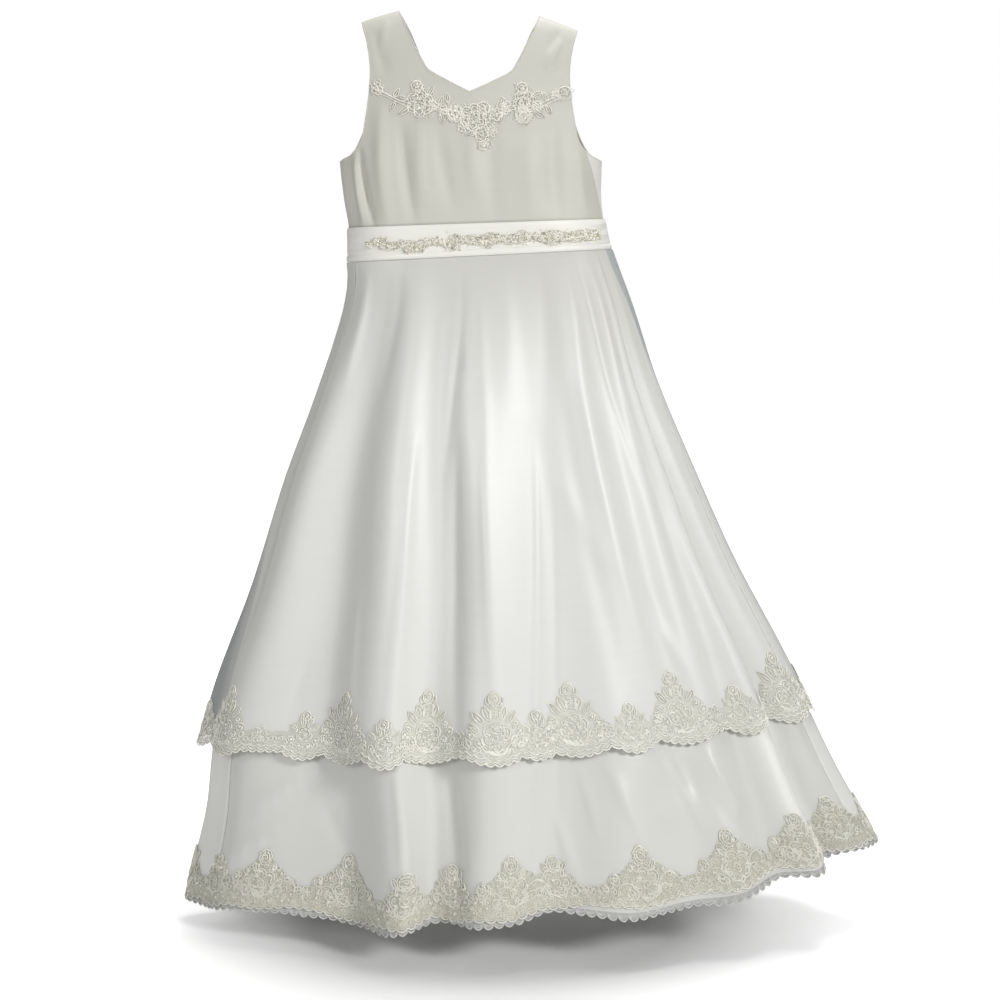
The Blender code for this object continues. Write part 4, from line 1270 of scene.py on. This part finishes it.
def overskirt_lace(part):
    """Motifs with flowers and a little trellis between them, over three scalloped cords."""
    name = f"overskirt_lace_{part}"
    ground = finish_piece(upper.ground(name + "_net", 1.7, net), "lace", name)
    thread = Thread(overskirt, GROUND_LIFT + NET)
    for middle, size, mirror in upper.motifs_here():
        lines, beads = MOTIFS[size]
        upper.lay(thread, middle, lines, UPPER_MOTIF_CORD, mirror)
        for x, y in beads:
            thread.bead(*upper.place(middle + mirror * x, y), BEAD)
    for (middle, size, _), (following, _, _) in zip(upper.motifs, upper.motifs[1:]):
        gap = (middle + following) / 2 + (1.5 if size == "small" else -1.5)
        if upper.first < gap < upper.last:
            upper.lay(thread, gap, [*flower(-4, 16, 3.8), *flower(4, 12, 4.2, start=0.6)], SPRIG_CORD)
            upper.lay(thread, gap, [circle(1, 21, 2.4, steps=8), circle(9, 18, 2.0, steps=7)], TRELLIS_CORD)
            upper.lay(thread, gap, [bent(((-9, 22), (-5, 25), (0, 24), (5, 26), (9, 23)))], TRELLIS_CORD)
    for up, deep, radius in ((0.2, 4.0, 1.15), (2.8, 3.6, 0.8), (6.4, 3.2, 1.0)):
        upper.scallops(thread, up, deep, radius)
    for k in upper.steps(UPPER_LOOPS):
        run = upper.first + (k + 0.3 + 0.5 * scattered(k, 2)) * UPPER_LOOPS
        ring = (0, 9.5 + 3 * scattered(k, 9), 2.2 + scattered(k, 4))
        upper.lay(thread, run, rings(ring), UPPER_LOOP_CORD)
    riders = [
        finish_piece(thread.cords(name + "_cords", cord), "lace"),
        finish_piece(thread.bead_mesh(name + "_beads", pearl), "lace"),
    ]


def filling(fine, bold, pitch):
    """Small spirals and flowers all over the net, in uneven rows, with beads between."""
    for row in range(10):
        for k in lower.steps(pitch):
            jitter, other = scattered(k, row), scattered(row + 17, k + 5)
            run = lower.first + (k + 0.5 * (row % 2) + 0.6 * (jitter - 0.5) + 0.3) * pitch
            rise = 5.0 + row * pitch * 0.8 + 3.0 * (other - 0.5)
            if rise > lower.height(run) - 3.0:
                continue
            radius = 2.2 + 2.0 * other
            if jitter > 0.6:
                shapes = [spiral(0, rise, radius, 1.4, FULL_TURN * other, steps=10)]
            else:
                shapes = flower(0, rise, radius + 0.6, 5 if jitter > 0.3 else 4, FULL_TURN * jitter)
            lower.lay(fine, run, shapes, 0.55 + 0.3 * jitter)
            if (k + row) % 2:
                bold.bead(*lower.place(run, rise), 0.8 + 0.6 * jitter)


def skirt_lace(part):
    """Bold motifs, scrolls and loops over a dense filling."""
    name = f"skirt_lace_{part}"
    ground = finish_piece(lower.ground(name + "_net", 1.9, dense_net), "lace", name)
    fine, bold = Thread(skirt, GROUND_LIFT + NET), Thread(skirt, GROUND_LIFT + NET + 0.5)
    filling(fine, bold, 7.8 if part == "front" else 9.6)
    for middle, size, mirror in lower.motifs_here():
        top = 58.0 if size == "large" else 48.0
        shapes = [
            *looped(0.5, top, 5.4, 1.2), circle(0.5, top, 8.2, 1.15), *petals(0, 27, 10.5, 7.6, 5, 0.6),
            spiral(0, 27, 6.0, 1.7, 0.8, steps=14), *leaf(-7, 40, 14, 122, 7.0), *leaf(8, 40, 13, 56, 6.5),
            spiral(-21, 18, 7.4, 1.6, 2.4), spiral(22, 17, 7.8, 1.6, 0.2), arc(0, 27, 15.5, 200, 340),
        ]
        if size == "large":
            shapes += looped(-37, 31, 5.0, 1.2)
            shapes += [arc(28, 12, 17, 10, 160, 1.2), arc(-24, 13, 13, 30, 180, 1.2)]
        lower.lay(bold, middle, shapes, LOWER_MOTIF_CORD, mirror)
    for k in lower.steps(SCROLLS):
        turned = scattered(k, 31)
        run = lower.first + (k + 0.4 + 0.5 * (turned - 0.5)) * SCROLLS
        scroll = spiral(0, 13 + 8 * scattered(k, 23), 4.2 + 2.0 * turned, 1.5, FULL_TURN * turned, steps=12)
        lower.lay(bold, run, [scroll], SCROLL_CORD, 1 if k % 2 else -1)
    # small loops stand along the upper edge
    for k in lower.steps(LOWER_LOOPS):
        run = lower.first + (k + 0.5 + 0.4 * (scattered(k, 7) - 0.5)) * LOWER_LOOPS
        ring = (0, float(lower.height(run)) - 2.0, 2.3 + 1.5 * scattered(k, 3))
        lower.lay(bold, run, rings(ring), LOWER_LOOP_CORD)
    lower.scallops(bold, 0.4, 4.4, 1.0)
    lower.scallops(fine, 3.0, 4.4, 0.75)
    riders = [
        finish_piece(fine.cords(name + "_fine_cords", beige_cord), "lace"),
        finish_piece(bold.cords(name + "_cords", cord), "lace"),
        finish_piece(bold.bead_mesh(name + "_beads", pearl), "lace"),
    ]


def hem_edging(part):
    """The scalloped edging that peeks out under the hem."""
    pitch, lift, name = 12.0, -0.6, f"hem_edging_{part}"

    def scallop(run):
        uneven = 1 + 0.16 * np.sin(run / 23.0) + 0.10 * np.sin(run / 9.7)
        return 2.2 + 6.0 * uneven * np.abs(np.sin(math.pi * run / pitch)) ** 0.55

    runs = spread(lower.first + 0.2, lower.last - 0.2, int((lower.last - lower.first) / pitch) * 8)
    drops = SKIRT_HEM + 0.2 + scallop(runs)[None] * spread(0, 1, 4)[:, None]
    grid = (np.repeat(lower.bearing(runs)[None], 5, axis=0), drops)
    # The edging's grey net and cords are painted shade.
    edging = finish_piece(sheet_mesh(name + "_net", skirt, [grid], lift, NET, shaded_edging_net), "lace", name)
    thread = Thread(skirt, lift)
    rim = np.arange(lower.first, lower.last, pitch / 8)
    low = SKIRT_HEM - 0.6 + scallop(rim)
    for drop, radius in ((low, 1.15), (low - 2.6, 0.8), (0.45 * low + 0.55 * SKIRT_HEM, 0.7)):
        thread.add(lower.bearing(rim), drop, radius)
    cords = finish_piece(thread.cords(name + "_cords", shaded_edging_cord), "lace")


LACE_PARTS = (
    # part, its seams, the panels that it is sewn to
    ("front", FRONT_SEAMS, ("front",)),
    ("back", (SKIRT_SEAM_LEFT, 360.0 - SKIRT_SEAM_RIGHT), ("back_left", "back_right")),
)
for part, seams, panels in LACE_PARTS:
    upper.turn_to(seams)
    lower.turn_to(seams)
    overskirt_lace(part)
    skirt_lace(part)
    hem_edging(part)

# The embroidered spray on the bodice

LEAF_STITCH, FLOWER_STITCH, FILL_STITCH, STEM_STITCH = 0.8, 0.95, 0.5, 0.85
needlework = Thread(bodice, 0.5)


def sew(lines, out, drop, radius):
    """Lines drawn out from a place on the bodice's front, and up."""
    for points, closed in lines:
        drops = drop - points[:, 1]
        needlework.add(bearing_of(points[:, 0] + out, drops), drops, radius, closed)


for shape, out, drop, size in SPRAY:
    if shape == "rose":
        lines = petals(0, 0, 0.6 * size, 0.42 * size, 6, 0.1 * size)
        lines += petals(0, 0, 0.24 * size, 0.28 * size, 4, size)
        beads, step = 24, 0.04
    else:
        lines = {"flower": flower, "loop": looped}[shape](0, 0, size)
        beads, step = 9, 0.1
    sew(lines, out, drop, FLOWER_STITCH)
    for k in range(beads):
        turn, reach = 2.4 * k, size * (0.15 + step * k)
        spot = (out + reach * math.cos(turn), drop + reach * math.sin(turn))
        needlework.bead(bearing_of(*spot), spot[1], BEAD)
for out, drop, length, angle, width in LEAVES:
    sew(leaf(0, 0, length, angle, width), out, drop, LEAF_STITCH)
for k, (shape, out, drop, size) in enumerate(SPRAY):
    count = 26 if shape == "rose" else 12
    for j in range(count):
        turn, reach = GOLDEN_TURN * j + k, 1.25 * size * math.sqrt((j + 0.5) / count)
        ring = (reach * math.cos(turn), reach * math.sin(turn), 1.2 + 0.9 * scattered(k, j))
        sew(rings(ring), out, drop, FILL_STITCH)
for stem in STEMS:
    points, _ = bent(stem)
    needlework.add(bearing_of(points[:, 0], points[:, 1]), points[:, 1], STEM_STITCH)
finish_piece(needlework.cords("bodice_spray_threads", cream), "lace", "bodice_applique")
finish_piece(needlework.bead_mesh("bodice_spray_beads", pearl), "lace")

# The beaded spray on the belt

PETAL_CORD, LEAF_CORD, STRAND_CORD = 0.75, 0.65, 0.6
beading, grey = Thread(belt, BELT_PROUD + 0.4), Thread(belt, BELT_PROUD + 0.4)
between_clusters = [
    ((b0 + b1) / 2, (d0 + d1) / 2 + (2.5 if k % 2 else -2.5), 0.3 * (size0 + size1))
    for k, ((b0, d0, size0), (b1, d1, size1)) in enumerate(zip(BELT_CLUSTERS, BELT_CLUSTERS[1:]))
]
for k, (bearing, drop, size) in enumerate([*BELT_CLUSTERS, *between_clusters]):
    pace = oval_pace(bearing, CHEST_HALF_WIDTH, CHEST_DEPTH)
    size = min(1.2 * size, 8.8) * (0.8 + 0.35 * scattered(k, 5))
    for points, closed in [*flower(0, 0, size, 6, 0.7 * k), rosette(0, 0, 0.62 * size, 5, 0.3, k)]:
        beading.add(bearing + points[:, 0] / pace, drop - points[:, 1], PETAL_CORD, closed)
    for angle in range(20 + 40 * k, 380 + 40 * k, 90):
        for points, closed in leaf(0, 0, size * 1.4, angle, size * 0.5):
            grey.add(bearing + points[:, 0] / pace, drop - 0.7 * points[:, 1], LEAF_CORD, closed)
    for j in range(16):
        turn, reach = GOLDEN_TURN * j + k, size * (0.25 + 0.085 * j) * (0.8 + 0.4 * scattered(j, k))
        spot = (bearing + reach * math.cos(turn) / pace, drop + 0.8 * reach * math.sin(turn))
        (grey if j % 3 == 1 else beading).bead(*spot, 0.8 + 0.65 * scattered(k, j))
strand = np.linspace(-58, 68, 160)
grey.add(strand, 264.0 + 2.6 * np.sin(strand / 4.1), STRAND_CORD)
beading.add(strand, 264.5 + 2.2 * np.sin(strand / 3.3 + 1.7), STRAND_CORD)
finish_piece(beading.cords("belt_spray_threads", cream), "lace", "belt_applique")
finish_piece(beading.bead_mesh("belt_spray_pearls", pearl), "lace")
finish_piece(grey.cords("belt_spray_silver", silver), "lace")
finish_piece(grey.bead_mesh("belt_spray_silver_beads", grey_bead), "lace")

# Buttons and their loops, at the centre back

BUTTON_DROPS = spread(134.0, 234.0, 4)
BUTTON_RADIUS, BUTTON_HEIGHT, BUTTON_FROM_EDGE = 4.5, 4.6, 6.0
LOOP_REACH, LOOP_TAIL, LOOP_CORD = 5.3, 1.2, 0.7


def button_dome(name, seat, outward):
    """A flat-backed dome that stands on its seat."""
    select_none()
    bpy.ops.mesh.primitive_uv_sphere_add(segments=28, ring_count=16, radius=BUTTON_RADIUS * MM)
    dome = bpy.context.active_object
    dome.name = name
    bpy.ops.object.mode_set(mode="EDIT")
    bpy.ops.mesh.select_all(action="SELECT")
    bpy.ops.mesh.bisect(plane_co=(0, 0, 0), plane_no=(0, 0, 1), use_fill=True, clear_inner=True)
    bpy.ops.mesh.select_all(action="SELECT")
    bpy.ops.transform.resize(value=(1, 1, BUTTON_HEIGHT / BUTTON_RADIUS))
    bpy.ops.object.mode_set(mode="OBJECT")
    bevel = dome.modifiers.new("turned_under", "BEVEL")
    bevel.width, bevel.segments, bevel.limit_method = 0.5 * MM, 3, "ANGLE"
    bpy.ops.object.modifier_apply(modifier=bevel.name)
    dome.location = Vector(seat) * MM
    dome.rotation_euler = outward.to_track_quat("Z", "Y").to_euler()
    bpy.ops.object.transform_apply(location=True, rotation=True, scale=True)
    dome.data.shade_smooth()
    dome.data.materials.append(ribbon)
    dome.select_set(False)
    return dome


loops = Thread(bodice, 0.8)
for number, drop in enumerate(BUTTON_DROPS, 1):
    pace = float(read(BODICE_HANG, drop, HALF_WIDTH)) * math.radians(1.0)
    middle = CENTRE_BACK - BUTTON_FROM_EDGE / pace
    seat = lifted(bodice, middle, float(drop), 0.6)
    outward = Vector(lifted(bodice, middle, float(drop), 5.0) - seat).normalized()
    finish_piece(button_dome(f"button_{number}_dome", seat, outward), "skirt_satin", f"button_{number}")
    turn = np.radians(np.linspace(115, -115, 15))
    tail = CENTRE_BACK + LOOP_TAIL / pace
    bearings = [tail + 2 / pace, tail, *(middle - LOOP_REACH / pace * np.cos(turn)), tail, tail + 2 / pace]
    drops = [drop + 2.2, drop + 2.6, *(drop + LOOP_REACH * np.sin(turn)), drop - 2.6, drop - 2.2]
    loops.add(bearings, drops, LOOP_CORD)
finish_piece(loops.cords("button_loops", cord), "skirt_satin")


# Floor, light and camera

FLOOR_LEVEL = -1.078
BACKDROP = (0.22, 0.62)  # metres from the dress where the floor begins to turn white, and where it is
WORLD_LIGHT = 0.25
LIGHTS = (
    # name, place, target, size, watts, spread in degrees
    ("key", (1.8, -2.2, 0.5), (-0.42, -0.1, -0.88), 0.8, 7.5, 62.0),
    ("front", (-1.6, -2.4, 0.3), (-0.38, 0.0, -0.40), 0.8, 3.1, 60.0),
    ("back", (0.0, 2.6, 0.2), (0.0, 0.1, -0.60), 1.4, 3.4, 60.0),
    ("over", (0.33, 0.5, 2.2), (0.03, 0.0, -1.0), 1.5, 52.0, 180.0),
)
CAMERA_PLACE, CAMERA_TILT, LENS = (0.0372, -2.5, -0.27), 90 - 6.80, 76.82


def area_light(name, location, target, size, power, cone):
    lamp = bpy.data.lights.new(name, "AREA")
    lamp.shape = "DISK"
    lamp.size, lamp.energy, lamp.spread = size, power, math.radians(cone)
    thing = bpy.data.objects.new(name, lamp)
    bpy.context.scene.collection.objects.link(thing)
    thing.location = location
    thing.rotation_euler = (Vector(target) - Vector(location)).to_track_quat("-Z", "Y").to_euler()


def make_floor():
    """A pale floor that glows white to the camera away from the dress."""
    material, tree, shader = new_material("pale_floor")
    feed(tree, shader, {"Base Color": (0.78, 0.78, 0.78, 1), "Roughness": 0.9})
    distance = node(tree, "VectorMath", {0: node(tree, "TexCoord").outputs["Object"]}, operation="LENGTH")
    fade = {"From Min": BACKDROP[0], "From Max": BACKDROP[1], "Value": distance.outputs["Value"]}
    fade = node(tree, "MapRange", fade).outputs["Result"]
    seen = node(tree, "LightPath").outputs["Is Camera Ray"]
    glow = node(tree, "Emission", {"Strength": maths(tree, "MULTIPLY", fade, seen)})
    joined = node(tree, "AddShader", {0: shader.outputs[0], 1: glow.outputs[0]})
    feed(tree, tree.nodes["Material Output"], {"Surface": joined.outputs[0]})
    bpy.ops.mesh.primitive_plane_add(size=30, location=(0.03, 0, FLOOR_LEVEL))
    floor = bpy.context.active_object
    floor.name = "floor"
    floor.data.materials.append(material)
    floor.select_set(False)


def make_world():
    """Soft light all round, behind a white that only the camera sees."""
    world = bpy.data.worlds.new("studio")
    world.use_nodes = True
    bpy.context.scene.world = world
    tree = world.node_tree
    soft = tree.nodes["Background"]
    feed(tree, soft, {"Color": (1, 1, 1, 1), "Strength": WORLD_LIGHT})
    white = node(tree, "Background", {"Color": (1, 1, 1, 1), "Strength": 1.0})
    seen = node(tree, "LightPath").outputs["Is Camera Ray"]
    both = node(tree, "MixShader", {0: seen, 1: soft.outputs[0], 2: white.outputs[0]})
    feed(tree, tree.nodes["World Output"], {"Surface": both.outputs[0]})


make_floor()
make_world()
for light in LIGHTS:
    area_light(*light)

camera_data = bpy.data.cameras.new("camera")
camera_data.lens, camera_data.sensor_width = LENS, 36.0
camera = bpy.data.objects.new("camera", camera_data)
bpy.context.scene.collection.objects.link(camera)
camera.location = CAMERA_PLACE
camera.rotation_euler = (math.radians(CAMERA_TILT), 0.0, 0.0)
bpy.context.scene.camera = camera
bpy.context.scene.view_settings.view_transform = "Standard"
